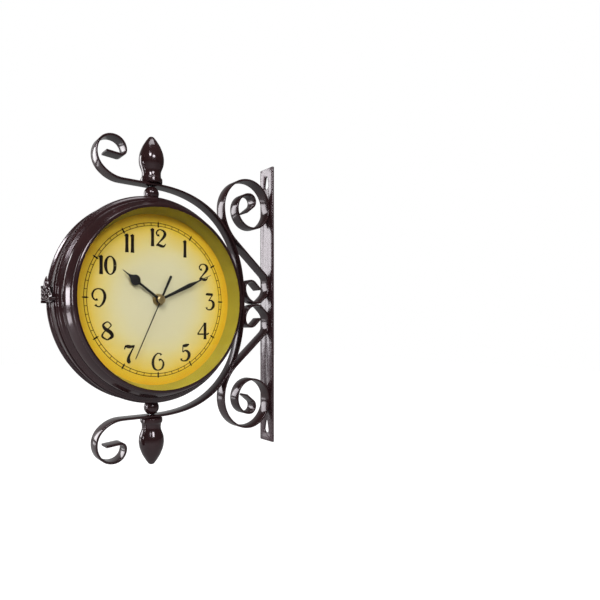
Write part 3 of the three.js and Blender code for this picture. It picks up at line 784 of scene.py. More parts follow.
def plate_mesh(
    name: str, loops: Sequence[Sequence[Point]], low: float, high: float, frame_matrix: Matrix,
    bevel: float = 0.0, bevel_steps: int = 2,
) -> bpy.types.Mesh:
    """Cut a plate with rounded edges from flat outlines.

    Args:
        name: The mesh's name.
        loops: The outer outline and any holes, in millimetres.
        low: Height of its back.
        high: Height of its front.
        frame_matrix: Where the local frame stands in the row frame, in metres.
        bevel: Rounding of its edges.
        bevel_steps: Steps of that rounding.

    Returns:
        The closed mesh.
    """
    curve = bpy.data.curves.new(name, "CURVE")
    curve.dimensions = "2D"
    curve.fill_mode = "BOTH"
    curve.extrude = (high - low) / 2 - bevel
    curve.bevel_depth = bevel
    curve.bevel_resolution = bevel_steps
    curve.offset = -bevel
    for loop in loops:
        spline = curve.splines.new("POLY")
        spline.points.add(len(loop) - 1)
        for point, (x, y) in zip(spline.points, loop):
            point.co = (x, y, 0, 1)
        spline.use_cyclic_u = True
    holder = bpy.data.objects.new(name, curve)
    mesh = bpy.data.meshes.new_from_object(holder)
    bpy.data.objects.remove(holder)
    bpy.data.curves.remove(curve)
    mesh.transform(Matrix.Translation((0, 0, (low + high) / 2)))
    mesh.transform(frame_matrix @ Matrix.Scale(MM, 4))
    return clean_mesh(mesh)


def joined(name: str, meshes: Sequence[bpy.types.Mesh]) -> bpy.types.Mesh:
    """Put several meshes in one.

    Args:
        name: The new mesh's name.
        meshes: The meshes, which are used up.

    Returns:
        The new mesh.
    """
    body = bmesh.new()
    for mesh in meshes:
        body.from_mesh(mesh)
        bpy.data.meshes.remove(mesh)
    whole = bpy.data.meshes.new(name)
    body.to_mesh(whole)
    body.free()
    return whole


def arc(radius: float, start: float, end: float, steps: int, middle: float = 0.0) -> list[Point]:
    """Points of an arc about a point on the vertical axis.

    Args:
        radius: Its radius.
        start: Angle where it starts, in radians.
        end: Angle where it ends.
        steps: Steps along it.
        middle: Height of its centre.

    Returns:
        The points.
    """
    turns = [start + (end - start) * k / steps for k in range(steps + 1)]
    return [(radius * math.cos(t), middle + radius * math.sin(t)) for t in turns]


# ------------------------------------------------------------------ geometry node trees
class GeometryTree:
    """A geometry node tree with named inputs, run once on a mesh and then turned plain."""

    def __init__(self, name: str, inputs: dict[str, tuple[str, object]]) -> None:
        """Start the tree.

        Args:
            name: Its name.
            inputs: Socket types and defaults by name.
        """
        self.group = bpy.data.node_groups.new(name, "GeometryNodeTree")
        face = self.group.interface
        face.new_socket("Geometry", in_out="INPUT", socket_type="NodeSocketGeometry")
        self.identifiers: dict[str, str] = {}
        for label, (kind, value) in inputs.items():
            socket = face.new_socket(label, in_out="INPUT", socket_type=f"NodeSocket{kind}")
            if value is not None:
                socket.default_value = value
            self.identifiers[label] = socket.identifier
        face.new_socket("Geometry", in_out="OUTPUT", socket_type="NodeSocketGeometry")
        self.tree = Tree(self.group)
        self.ins = self.tree.add("NodeGroupInput").outputs

    def finish(self, geometry: bpy.types.NodeSocket) -> None:
        """End the tree with real geometry that holds its material.

        Args:
            geometry: What the tree made.
        """
        real = self.tree.add("GeometryNodeRealizeInstances")
        self.tree.put(real.inputs[0], geometry)
        coat = self.tree.add("GeometryNodeSetMaterial")
        self.tree.fill(coat, Geometry=real.outputs[0], Material=self.ins["Material"])
        outs = self.tree.add("NodeGroupOutput")
        self.tree.put(outs.inputs[0], coat.outputs[0])

    def run(self, name: str, source: bpy.types.Mesh, **values: object) -> bpy.types.Mesh:
        """Run the tree on a mesh.

        Args:
            name: The new mesh's name.
            source: The mesh that goes in.
            **values: Inputs by name, with _ for a space.

        Returns:
            The plain mesh that comes out.
        """
        holder = bpy.data.objects.new(name, source)
        bpy.context.scene.collection.objects.link(holder)
        modifier = holder.modifiers.new(name, "NODES")
        modifier.node_group = self.group
        for label, value in values.items():
            modifier[self.identifiers[label.replace("_", " ")]] = value
        graph = bpy.context.evaluated_depsgraph_get()
        mesh = bpy.data.meshes.new_from_object(holder.evaluated_get(graph), depsgraph=graph)
        holder.modifiers.remove(modifier)
        bpy.data.objects.remove(holder)
        mesh.name = name
        return clean_mesh(mesh)


def strip_tree() -> GeometryTree:
    """Tree that sweeps a flat strip with rounded edges along a path in the XZ plane.

    Returns:
        The tree.
    """
    made = GeometryTree("bent_strip", {
        "Width": ("Float", 0.016),
        "Thickness": ("Float", 0.0025),
        "Edge": ("Float", 0.0005),
        "Material": ("Material", None),
    })
    tree = made.tree
    path = tree.add("GeometryNodeMeshToCurve")
    tree.put(path.inputs[0], made.ins["Geometry"])
    upright = tree.add("GeometryNodeSetCurveNormal")
    upright.mode = "FREE"
    tree.put(upright.inputs["Curve"], path.outputs[0])
    tree.put(upright.inputs["Normal"], (0.0, 1.0, 0.0))
    section = tree.add("GeometryNodeCurvePrimitiveQuadrilateral")
    tree.fill(section, Width=made.ins["Width"], Height=made.ins["Thickness"])
    soft = tree.add("GeometryNodeFilletCurve")
    soft.mode = "POLY"
    tree.put(soft.inputs["Curve"], section.outputs[0])
    tree.put(soft.inputs["Radius"], made.ins["Edge"])
    tree.put(soft.inputs["Count"], 3)
    sweep = tree.add("GeometryNodeCurveToMesh")
    tree.put(sweep.inputs["Curve"], upright.outputs[0])
    tree.put(sweep.inputs["Profile Curve"], soft.outputs[0])
    tree.put(sweep.inputs["Fill Caps"], True)
    made.finish(sweep.outputs[0])
    return made


def track_tree() -> GeometryTree:
    """Tree that sets small bars or lozenges round a circle, each pointing at its centre.

    Returns:
        The tree.
    """
    made = GeometryTree("minute_track", {
        "Count": ("Int", 60),
        "Radius": ("Float", 0.0843),
        "Sides": ("Int", 4),
        "Section": ("Float", 0.5),
        "Mark Width": ("Float", 0.0003),
        "Mark Length": ("Float", 0.003),
        "Mark Height": ("Float", 0.00003),
        "Material": ("Material", None),
    })
    tree = made.tree
    rod = tree.add("GeometryNodeMeshCylinder", fill_type="NGON")
    tree.fill(rod, Vertices=made.ins["Sides"], Radius=made.ins["Section"], Depth=1.0)
    turned = tree.add("GeometryNodeTransform")
    tree.put(turned.inputs["Geometry"], rod.outputs["Mesh"])
    tree.put(turned.inputs["Rotation"], (0.0, 0.0, math.radians(45)))
    size = tree.add("ShaderNodeCombineXYZ")
    tree.fill(size, X=made.ins["Mark Length"], Y=made.ins["Mark Width"], Z=made.ins["Mark Height"])
    bar = tree.add("GeometryNodeTransform")
    tree.put(bar.inputs["Geometry"], turned.outputs[0])
    tree.put(bar.inputs["Scale"], size.outputs[0])
    ring = tree.add("GeometryNodeMeshCircle")
    tree.fill(ring, Vertices=made.ins["Count"], Radius=made.ins["Radius"])
    place = tree.add("GeometryNodeInputPosition")
    turn = tree.add("FunctionNodeAlignRotationToVector", axis="X", pivot_axis="Z")
    tree.put(turn.inputs["Vector"], place.outputs[0])
    spread = tree.add("GeometryNodeInstanceOnPoints")
    tree.put(spread.inputs["Points"], ring.outputs[0])
    tree.put(spread.inputs["Instance"], bar.outputs[0])
    tree.put(spread.inputs["Rotation"], turn.outputs[0])
    made.finish(spread.outputs[0])
    return made


# ------------------------------------------------------------------ centrelines
@dataclass(frozen=True)
class Leg:
    """Part of a centreline: a bend of a radius through a turn, or a straight run where turn is 0."""

    size: float
    turn: float = 0.0


def heading_vector(heading: float) -> Vector:
    """Direction of a heading in degrees, in the bracket's plane."""
    return Vector((math.cos(math.radians(heading)), math.sin(math.radians(heading))))


def walk(start: Point, heading: float, legs: Sequence[Leg], step: float = 5.0) -> list[Vector]:
    """Walk a centreline of straight runs and bends.

    Args:
        start: Where it starts, in millimetres.
        heading: Its first direction in degrees.
        legs: Its parts, left turns positive.
        step: Degrees turned per point.

    Returns:
        The points.
    """
    place = Vector(start)
    course = heading
    points = [place.copy()]
    for leg in legs:
        if leg.turn == 0:
            place = place + heading_vector(course) * leg.size
            points.append(place)
            continue
        side = math.copysign(90, leg.turn)
        centre = place + heading_vector(course + side) * leg.size
        steps = math.ceil(abs(leg.turn) / step)
        for i in range(1, steps + 1):
            points.append(centre + heading_vector(course - side + leg.turn * i / steps) * leg.size)
        place = points[-1]
        course += leg.turn
    return points


def path_mesh(name: str, points: Sequence[Vector], pivot_x: float) -> bpy.types.Mesh:
    """Mesh of edges along a centreline in the row frame's XZ plane.

    Args:
        name: The mesh's name.
        points: The centreline in millimetres from the swivel axis.
        pivot_x: X of that axis in metres.

    Returns:
        The mesh.
    """
    mesh = bpy.data.meshes.new(name)
    verts = [(pivot_x + p.x * MM, 0, p.y * MM) for p in points]
    mesh.from_pydata(verts, [(i, i + 1) for i in range(len(verts) - 1)], [])
    return mesh


# ------------------------------------------------------------------ wall bracket
@dataclass
class WallBracket:
    """Wall bar, hoop and the two scrolls."""

    strip_edge: float = 0.55
    hoop_exponent: float = 2.38
    hoop_straight: float = 38.0
    hoop_steps: int = 60
    hoop_curl: tuple[Leg, ...] = (
        Leg(34.8, -45), Leg(22.1, -75), Leg(18.65, -75), Leg(13.8, -75), Leg(5.9, -95), Leg(16.4),
    )
    scroll_contact: float = 3.0
    foot_bend: float = 16.0
    lean: float = 50.0
    loop_level: float = 120.9
    loop_shrink: float = 0.842
    loop_turns: int = 5
    eye: tuple[Leg, ...] = (Leg(8.7, -142), Leg(13.5))
    hook_foot: float = 20.0
    hook_lean: float = 49.0
    hook_slope: float = 8.0
    hook_toe: float = 9.0
    hook_run: float = 2.0
    hook_curl: tuple[Leg, ...] = (Leg(9.8, -132), Leg(12.5))
    gap: float = 0.3
    keyhole_end: float = 10.5
    keyhole_height: float = 17.5
    keyhole_head: float = 8.6
    keyhole_neck: float = 4.4
    keyhole_steps: int = 20
    bar_corner: float = 0.8
    bar_edge: float = 0.5
    strips: GeometryTree = field(default_factory=strip_tree)

    def __post_init__(self) -> None:
        """Read the strip's width, its reach and its contacts from the frame."""
        self.pivot_x = ClockSizes.pivot_x()
        low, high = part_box("hoop")
        self.width = (high[1] - low[1]) / MM
        finial_low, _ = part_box("upper_finial")
        ball_low, ball_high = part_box("upper_ball")
        self.thickness = (finial_low[2] - ball_high[2]) / MM - 2 * self.gap
        self.half = self.thickness / 2
        self.reach = (high[0] - self.pivot_x) / MM - self.half
        self.rise = finial_low[2] / MM - self.gap - self.half
        scroll_low, scroll_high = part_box("upper_scroll")
        self.contact_x = (scroll_high[0] - self.pivot_x) / MM - self.half
        self.loop_left = (scroll_low[0] - self.pivot_x) / MM + self.half

    def hoop_point(self, angle: float) -> Vector:
        """Point of the hoop's round part.

        Args:
            angle: Its polar angle in degrees.

        Returns:
            The point.
        """
        along = heading_vector(angle)
        power = self.hoop_exponent
        share = abs(along.x / self.reach) ** power + abs(along.y / self.rise) ** power
        return along * share ** (-1 / power)

    def hoop_line(self) -> list[Vector]:
        """Whole centreline of the hoop.

        Returns:
            Its points, from the lower curl to the upper one.
        """
        upper = [self.hoop_point(90 * i / self.hoop_steps) for i in range(self.hoop_steps)]
        upper += walk((0, self.rise), 180, (Leg(self.hoop_straight), *self.hoop_curl))
        lower = [Vector((p.x, -p.y)) for p in reversed(upper[1:])]
        return lower + upper

    def scroll_line(self) -> list[Vector]:
        """Centreline of the upper scroll.

        Returns:
            Its points, from its hook to the middle of its loop.
        """
        lean = math.radians(self.hook_lean)
        toe = math.radians(90 - self.hook_lean)
        kiss = (self.thickness + self.gap) / 2
        drop = self.hook_foot * math.sin(lean) + self.hook_slope * math.sin(toe)
        drop += self.hook_toe * (1 - math.cos(toe))
        inward = self.hook_foot * (1 - math.cos(lean)) + self.hook_slope * math.cos(toe)
        inward += self.hook_toe * math.sin(toe)
        radius = self.contact_x - inward - self.hook_run - self.reach - self.thickness - self.gap
        start = kiss + drop
        hook = walk((self.contact_x, start), 270, (
            Leg(self.hook_foot, -self.hook_lean), Leg(self.hook_slope),
            Leg(self.hook_toe, self.hook_lean - 90), Leg(self.hook_run), Leg(radius, -90), *self.hook_curl,
        ))
        foot = start + self.scroll_contact
        return hook[::-1] + walk((self.contact_x, foot), 90, self.loop_legs(foot))

    def loop_legs(self, foot: float) -> list[Leg]:
        """Legs of the loop, from its contact with the bar.

        Args:
            foot: Height where it leaves the bar.

        Returns:
            The legs.
        """
        lean = math.radians(self.lean)
        width = self.contact_x - self.loop_left
        across = width - self.foot_bend * (1 - math.cos(lean))
        up = self.loop_level - foot - self.foot_bend * math.sin(lean)
        bend = (up * math.sin(lean) - across * math.cos(lean)) / (1 - math.cos(lean))
        run = (across - bend * (1 - math.cos(lean))) / math.sin(lean)
        legs = [Leg(self.foot_bend, self.lean), Leg(run), Leg(bend, -self.lean)]
        radius = width / (1 + self.loop_shrink)
        for _ in range(self.loop_turns):
            legs.append(Leg(radius, -90))
            radius *= self.loop_shrink
        return [*legs, *self.eye]

    def strip(self, name: str, line: Sequence[Vector]) -> None:
        """Sweep a strip and put it in its node's place.

        Args:
            name: The node that it stands for.
            line: Its centreline.
        """
        mesh = self.strips.run(
            name, path_mesh(name, line, self.pivot_x), Width=self.width * MM,
            Thickness=self.thickness * MM, Edge=self.strip_edge * MM, Material=BROWN.material(),
        )
        piece = finish_mesh(f"{name}_strip", mesh, BROWN)
        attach(piece, Body.BRACKET)
        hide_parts(name)

    def keyhole(self, bottom: float) -> list[Point]:
        """Teardrop keyhole in the bar.

        Args:
            bottom: Height of its lowest point.

        Returns:
            Its outline.
        """
        head, neck = self.keyhole_head / 2, self.keyhole_neck / 2
        head_z, neck_z = bottom + head, bottom + self.keyhole_height - neck
        tilt = math.asin((head - neck) / (neck_z - head_z))
        points = arc(head, math.pi - tilt, 2 * math.pi + tilt, self.keyhole_steps, head_z)
        return points + arc(neck, tilt, math.pi - tilt, self.keyhole_steps, neck_z)

    def bar(self) -> None:
        """Wall bar with rounded edges and its two keyholes."""
        low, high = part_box("wall_bar")
        half, top = (high[1] - low[1]) / 2 / MM, high[2] / MM
        signs = ((-1, -1), (1, -1), (1, 1), (-1, 1))
        loops = [
            rounded([Corner(x * half, z * top, self.bar_corner) for x, z in signs], True),
            self.keyhole(top - self.keyhole_end - self.keyhole_height),
            self.keyhole(self.keyhole_end - top),
        ]
        upright = Matrix(((0, 0, 1, 0), (1, 0, 0, 0), (0, 1, 0, 0), (0, 0, 0, 1)))
        mesh = plate_mesh("wall_bar", loops, low[0] / MM, high[0] / MM, upright, self.bar_edge)
        piece = finish_mesh("wall_bar_plate", mesh, HAMMERED)
        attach(piece, Body.BRACKET)
        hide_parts("wall_bar")

    def build(self) -> None:
        """Make and dress the whole bracket."""
        self.bar()
        self.strip("hoop", self.hoop_line())
        scroll = self.scroll_line()
        self.strip("upper_scroll", scroll)
        self.strip("lower_scroll", [Vector((p.x, -p.y)) for p in scroll])


# ------------------------------------------------------------------ pivots
@dataclass
class PivotStack:
    """Finial, ball and the hardware of one end of the swivel."""

    end: End
    base: float = 25.7
    belly: float = 29.5
    bore: float = 3.1
    bore_depth: float = 16.0
    foot: tuple[Triple, ...] = (
        (0.9, 0.0, 0.0), (1.0, 0.02, 1.2), (1.0, 0.095, 1.6), (0.88, 0.135, 2.5), (0.84, 0.24, 14.0),
    )
    bud: tuple[Triple, ...] = (
        (0.97, 0.4, 16.0), (1.0, 0.52, 20.0), (0.93, 0.64, 18.0), (0.72, 0.78, 22.0), (0.44, 0.9, 14.0),
        (0.2, 0.985, 4.0), (0.0, 1.0, 0.0),
    )
    steps: int = 96
    ball_steps: int = 28
    turn_step: float = 6.0

    def place(self) -> Matrix:
        """Local frame whose Z points away from the case."""
        sign = self.end.value
        return Matrix(((1, 0, 0, ClockSizes.pivot_x()), (0, sign, 0, 0), (0, 0, sign, 0), (0, 0, 0, 1)))

    def span(self, node: str) -> tuple[float, float]:
        """Where a node starts and ends above or below the middle of the case.

        Args:
            node: The node's name without its end.

        Returns:
            Its nearest and its furthest distance in millimetres.
        """
        low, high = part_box(f"{self.end.label}_{node}")
        near, far = sorted((abs(low[2]), abs(high[2])))
        return near / MM, far / MM

    def turned(self, node: str, profile: Sequence[Point], finish: Finish) -> None:
        """Turn a profile and put it in its node's place.

        Args:
            node: The node's name without its end.
            profile: (radius, height) points.
            finish: Its finish.
        """
        name = f"{self.end.label}_{node}"
        mesh = lathe_mesh(name, profile, self.place(), self.steps)
        piece = finish_mesh(f"{name}_turned", mesh, finish, TURNED_SHARP)
        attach(piece, Body.BRACKET)
        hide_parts(name)

    def finial(self) -> None:
        """Bud with a flared foot, a waist and a rounded point."""
        low, high = self.span("finial")
        tall = high - low
        end = low + self.bore_depth
        corners = [Corner(0, end), Corner(self.bore, end), Corner(self.bore, low)]
        for width, outline in ((self.base, self.foot), (self.belly, self.bud)):
            corners += [Corner(part * width / 2, low + up * tall, soft) for part, up, soft in outline]
        self.turned("finial", rounded(corners, False, self.turn_step), BROWN)

    def ball(self) -> None:
        """Bored ball between the hoop and the case."""
        low, high = self.span("ball")
        middle, half = (low + high) / 2, (high - low) / 2
        radius = math.hypot(half, self.bore)
        opening = math.asin(half / radius)
        self.turned("ball", arc(radius, -opening, opening, self.ball_steps, middle), BROWN)

    def build(self) -> None:
        """Make the turned pieces and dress the hardware."""
        self.finial()
        self.ball()
        for node, finish in {"rod": STEEL, "washer": STEEL, "nut": STEEL, "bush": BRASS}.items():
            dress(f"{self.end.label}_{node}", finish)


def dress(node: str, finish: Finish) -> None:
    """Give a carried-over node its finish.

    Args:
        node: The node's name.
        finish: The finish.
    """
    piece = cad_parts[node]
    if not piece.material_slots:
        piece.data.materials.append(None)
    for place in piece.material_slots:
        place.material = finish.material()
    log.info("dressed %s in %s", node, finish.name)


# ------------------------------------------------------------------ case
@dataclass
class DrumCase:
    """Rear shell with its band, front shell, hinge and the parts of the latch on them."""

    seam_depth: float = 14.5
    seam_gap: float = 0.6
    bezel: tuple[Triple, ...] = (
        (0.2, 0.013, 0.4), (-1.1, 0.04, 1.0), (-1.1, 0.09, 1.0), (0.9, 0.145, 0.8), (0.9, 0.19, 1.0),
        (4.4, 0.25, 0.8), (4.2, 0.36, 6.0), (5.3, 0.54, 14.0), (8.6, 0.77, 10.0), (10.2, 0.85, 0.5),
        (9.8, 0.91, 1.2), (11.2, 0.98, 0.9), (12.2, 1.0, 0.4),
    )
    lining: tuple[Triple, ...] = ((11.6, 0.79, 2.0), (7.6, 0.55, 4.0), (6.8, 0.3, 4.0))
    lining_end: float = 7.4
    rim_proud: float = 2.6
    rim_width: float = 2.7
    rim_edge: float = 0.6
    rim_fillet: float = 1.2
    rim_rounding: Point = (0.9, 0.5)
    wall: float = 1.8
    opening_inset: float = 14.3
    lip: float = 0.8
    lip_edge: float = 0.25
    shelf_inset: float = 3.8
    shelf_room: float = 1.6
    seat_inside: Point = (0.8, 3.1)
    door_edge: float = 0.2
    edge: float = 0.3
    steps: int = 240
    turn_step: float = 9.0

    def __post_init__(self) -> None:
        """Read the case's radius and depth from the frame."""
        self.rim = ClockSizes.radius("rear_shell") / MM
        self.band = self.rim - self.rim_proud
        self.half_depth = ClockSizes.depth("front_shell")[1] / MM
        _, flange = ClockSizes.depth("front_dial")
        self.shelf = flange / MM + self.shelf_room

    def share(self, along: float) -> float:
        """Depth at a share of the way from the seam to the lip."""
        return self.seam_depth + along * (self.half_depth - self.seam_depth)

    def outside(self) -> list[Corner]:
        """Outer profile of a bezel, from the seam to the lip."""
        return [Corner(self.band - inset, self.share(along), soft) for inset, along, soft in self.bezel]

    def inside(self) -> list[Corner]:
        """Inner profile of a bezel.

        Returns:
            Its corners, from the lip back to the dial's seat.
        """
        opening = self.band - self.opening_inset
        lip_back = self.half_depth - self.lip
        return [
            Corner(opening, self.half_depth, self.lip_edge),
            Corner(opening, lip_back),
            Corner(self.band - self.lining[0][0], lip_back),
            *[Corner(self.band - inset, self.share(along), soft) for inset, along, soft in self.lining],
            Corner(self.band - self.lining_end, self.shelf),
            Corner(self.band - self.shelf_inset, self.shelf),
        ]

    def shell(self, node: str, corners: Sequence[Corner], side: Side) -> None:
        """Turn a shell and put it in its node's place.

        Args:
            node: The node that it stands for.
            corners: Its profile.
            side: The face that it belongs to.
        """
        profile = rounded(corners, True, self.turn_step)
        mesh = lathe_mesh(node, profile, ClockSizes.side_frame(side), self.steps)
        piece = finish_mesh(f"{node}_fine", mesh, BROWN, TURNED_SHARP)
        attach(piece, side.body)
        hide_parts(node)

    def front_shell(self) -> None:
        """Front bezel, which opens as a door."""
        seam = self.seam_depth + self.seam_gap / 2
        corners = [
            Corner(self.band - self.door_edge, seam, self.door_edge), *self.outside()[1:], *self.inside(),
            Corner(self.band - self.shelf_inset, seam, self.door_edge),
        ]
        self.shell("front_shell", corners, Side.FRONT)

    def rear_shell(self) -> None:
        """Band and rear bezel."""
        end = self.seam_depth - self.seam_gap / 2
        step, fillet, bevel = end - self.rim_width, self.rim_fillet, self.rim_edge
        groove, bore = self.band - bevel, self.band - self.wall
        seat_depth, bore_depth = self.seat_inside
        inward, outward = self.rim_rounding
        roll = [
            Corner(self.band, step - fillet, fillet), Corner(self.rim, step, inward),
            Corner(self.rim, end - bevel, outward), Corner(self.rim - bevel, end, self.edge),
        ]
        corners = [
            *[Corner(corner.x, -corner.y, corner.round) for corner in reversed(roll)], *roll,
            Corner(groove, end), Corner(groove, end + self.seam_gap), *self.outside()[1:], *self.inside(),
            Corner(self.band - self.shelf_inset, self.seam_depth - seat_depth),
            Corner(bore, self.seam_depth - bore_depth), Corner(bore, -end, self.edge),
        ]
        self.shell("rear_shell", corners, Side.REAR)

    def build(self) -> None:
        """Make the shells and dress the hinge and the latch's fixed parts."""
        self.rear_shell()
        self.front_shell()
        finishes = {
            "hinge_leaf_rear": BROWN, "hinge_leaf_front": BROWN, "hinge_pin": STEEL, "latch_base": BROWN,
            "latch_pin": STEEL, "catch_stud": BROWN,
        }
        for node, finish in finishes.items():
            dress(node, finish)


# ------------------------------------------------------------------ latch
@dataclass(frozen=True)
class Leaf:
    """Raised leaf of the hasp, from its base to its tip in the hasp's plane."""

    base: Point
    tip: Point
    width: float
    rise: float
    base_width: float = 0.12
    belly: float = 0.8
    fullness: float = 0.75
    base_rise: float = 0.15
    crest: float = 0.1
    roundness: float = 0.96
    groove_depth: float = 0.34
    groove_width: float = 0.2
    least: float = 0.05

    def mesh(self, floor: float, place: Matrix, rows: int = 14, columns: int = 8) -> bpy.types.Mesh:
        """Domed leaf with a groove along its middle.

        Args:
            floor: Height of its flat back.
            place: Where the hasp's plane stands in the row frame, in metres.
            rows: Steps along it.
            columns: Steps across it.

        Returns:
            The closed mesh.
        """
        start, end = Vector(self.base), Vector(self.tip)
        along = (end - start).normalized()
        across = Vector((-along.y, along.x))
        top, back = [], []
        for i in range(rows + 1):
            t = i / rows
            bulge = math.sin(math.pi * t**self.belly) ** self.fullness
            spread = self.width / 2 * (self.base_width + (1 - self.base_width) * bulge)
            hump = math.sin(math.pi * min(t * (1 - self.crest) + self.crest, 1.0))
            swell = self.rise * (self.base_rise + (1 - self.base_rise) * hump)
            for k in range(columns + 1):
                v = 2 * k / columns - 1
                spot = start + along * (end - start).length * t + across * spread * v
                groove = self.groove_depth * math.exp(-((v / self.groove_width) ** 2))
                dome = swell * (math.sqrt(1 - self.roundness * v * v) - groove)
                top.append(Vector((spot.x, spot.y, floor + max(dome, self.least))) * MM)
                back.append(Vector((spot.x, spot.y, floor)) * MM)
        width = columns + 1
        size = len(top)
        faces = []
        for i in range(rows):
            for k in range(columns):
                a = i * width + k
                faces.append((a, a + 1, a + 1 + width, a + width))
                faces.append((a + size, a + width + size, a + 1 + width + size, a + 1 + size))
        rim = [*range(columns), *(i * width + columns for i in range(rows))]
        rim += [rows * width + columns - k for k in range(columns)]
        rim += [(rows - i) * width for i in range(rows)]
        for a, b in zip(rim, rim[1:] + rim[:1]):
            faces.append((a, a + size, b + size, b))
        mesh = bpy.data.meshes.new("leaf")
        mesh.from_pydata([place @ v for v in top + back], [], faces)
        return clean_mesh(mesh)


@dataclass
class Latch:
    """Leafy cast hasp, which turns on its pin and hooks over the door's stud."""

    depth: float = 12.0
    middle: float = 3.0
    knuckle_length: float = 11.8
    neck: float = 9.4
    plate: float = 0.9
    thickness: float = 3.0
    bore: float = 1.0
    knuckle_rings: tuple[Triple, ...] = (
        (-1.0, 0.7, 0.3), (-0.6667, 1.0, 1.0), (-0.3333, 0.72, 0.6), (0.0, 1.0, 1.4),
        (0.3333, 0.72, 0.6), (0.6667, 1.0, 1.0), (1.0, 0.7, 0.3),
    )
    knuckle_steps: int = 40
    edge: float = 0.3
    sink: float = 0.05
    stud_level: float = -2.6
    slot_half: float = 2.0
    slot_end: float = -12.9
    fork: float = -19.0
    crown: tuple[tuple[Point, Point], ...] = (
        ((8.8, 11.4), (7.4, 12.2)), ((9.4, 14.6), (6.6, 16.2)), ((5.6, 19.6), (2.0, 21.5)),
        ((-1.4, 19.2), (-2.2, 15.6)), ((-5.6, 16.6), (-7.0, 13.6)), ((-7.2, 11.4), (-5.8, 10.2)),
        ((-10.8, 9.8), (-12.4, 6.2)), ((-13.2, 4.4), (-15.0, 3.4)), ((-18.4, 3.0), (-19.0, 0.4)),
    )
    foot: tuple[tuple[Point, Point], ...] = (
        ((-17.0, -6.6), (-13.0, -6.0)), ((-7.0, -7.0), (-3.0, -4.6)), ((2.0, -6.8), (7.0, -3.4)),
    )
    leaves: tuple[Leaf, ...] = (
        Leaf((1.0, 7.6), (1.9, 20.6), 6.0, 2.4), Leaf((3.4, 7.0), (6.6, 14.8), 4.8, 2.5),
        Leaf((-1.8, 7.0), (-6.0, 13.4), 4.8, 2.4), Leaf((-2.8, 4.6), (-11.6, 6.4), 5.0, 2.6),
        Leaf((-8.6, 3.0), (-17.4, 1.2), 3.4, 1.9), Leaf((-2.2, 0.6), (-11.0, -3.8), 4.8, 2.5),
        Leaf((-10.2, -3.8), (-16.6, -5.4), 2.2, 1.5), Leaf((0.4, -0.4), (-2.4, -4.8), 4.4, 2.4),
        Leaf((3.0, 0.4), (6.6, -3.2), 4.4, 2.4), Leaf((4.4, 3.2), (8.6, 8.2), 4.4, 2.5),
        Leaf((-1.6, 0.4), (3.2, 5.8), 5.4, 2.8),
    )

    def outline(self) -> list[Point]:
        """Edge of the hasp's plate.

        Returns:
            The closed outline.
        """
        low = self.middle - self.knuckle_length / 2
        high = self.middle + self.knuckle_length / 2
        top, bottom = self.stud_level + self.slot_half, self.stud_level - self.slot_half
        points = [(self.neck, low), (self.depth, low), (self.depth, high), (self.neck, high)]
        points += self.curves(points[-1], self.crown)
        points += [(self.fork, top), (self.slot_end, top), (self.slot_end, bottom), (self.fork, bottom)]
        return points + self.curves(points[-1], self.foot)

    @staticmethod
    def curves(start: Point, legs: Sequence[tuple[Point, Point]], steps: int = 10) -> list[Point]:
        """Points along curves that each have one control point.

        Args:
            start: Where the first curve starts.
            legs: Control point and end of each curve.
            steps: Points of a curve.

        Returns:
            The points after the start.
        """
        points = []
        for control, end in legs:
            for i in range(1, steps + 1):
                t = i / steps
                points.append(tuple(
                    a * (1 - t) ** 2 + 2 * b * t * (1 - t) + c * t * t
                    for a, b, c in zip(start, control, end)
                ))
            start = end
        return points

    def build(self) -> None:
        """Cast the hasp in one piece of plate, leaves and knuckle."""
        low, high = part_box("latch_hasp")
        axis_x = (low[0] + high[0]) / 2
        place = Matrix(((0, 0, -1, axis_x), (1, 0, 0, 0), (0, 1, 0, 0), (0, 0, 0, 1)))
        back = -self.thickness / 2
        front = back + self.plate
        parts = [plate_mesh("hasp", [self.outline()], back, front, place, self.edge)]
        parts += [leaf.mesh(front - self.sink, place) for leaf in self.leaves]
        radius = (high[0] - low[0]) / 2 / MM
        half = self.knuckle_length / 2
        corners = [Corner(self.bore, self.middle - half)]
        for along, share, soft in self.knuckle_rings:
            corners.append(Corner(share * radius, self.middle + along * half, soft))
        corners.append(Corner(self.bore, self.middle + half))
        upright = Matrix.Translation((axis_x, self.depth * MM, 0))
        parts.append(lathe_mesh("knuckle", rounded(corners, True), upright, self.knuckle_steps))
        piece = finish_mesh("latch_hasp_cast", joined("latch_hasp_cast", parts), BROWN, TURNED_SHARP)
        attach(piece, Body.LATCH)
        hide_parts("latch_hasp")


# ------------------------------------------------------------------ numerals
@dataclass(frozen=True)
class Stroke:
    """Pen stroke through (x, y, width) points, in shares of a numeral's height."""

    points: tuple[Triple, ...]
    spread: float = 0.022

    def outline(self, weight: float, steps: int = 7) -> list[Point]:
        """Outline of the stroke.

        Args:
            weight: How many times its width it is drawn.
            steps: Points between two of the stroke's points.

        Returns:
            The closed outline.
        """
        line = spline(self.points, steps)
        left, right = [], []
        for i, (x, y, width) in enumerate(line):
            before, after = line[max(i - 1, 0)], line[min(i + 1, len(line) - 1)]
            along = Vector((after[0] - before[0], after[1] - before[1])).normalized()
            half = (weight * width + self.spread) / 2
            left.append((x - along.y * half, y + along.x * half))
            right.append((x + along.y * half, y - along.x * half))
        return left + right[::-1]


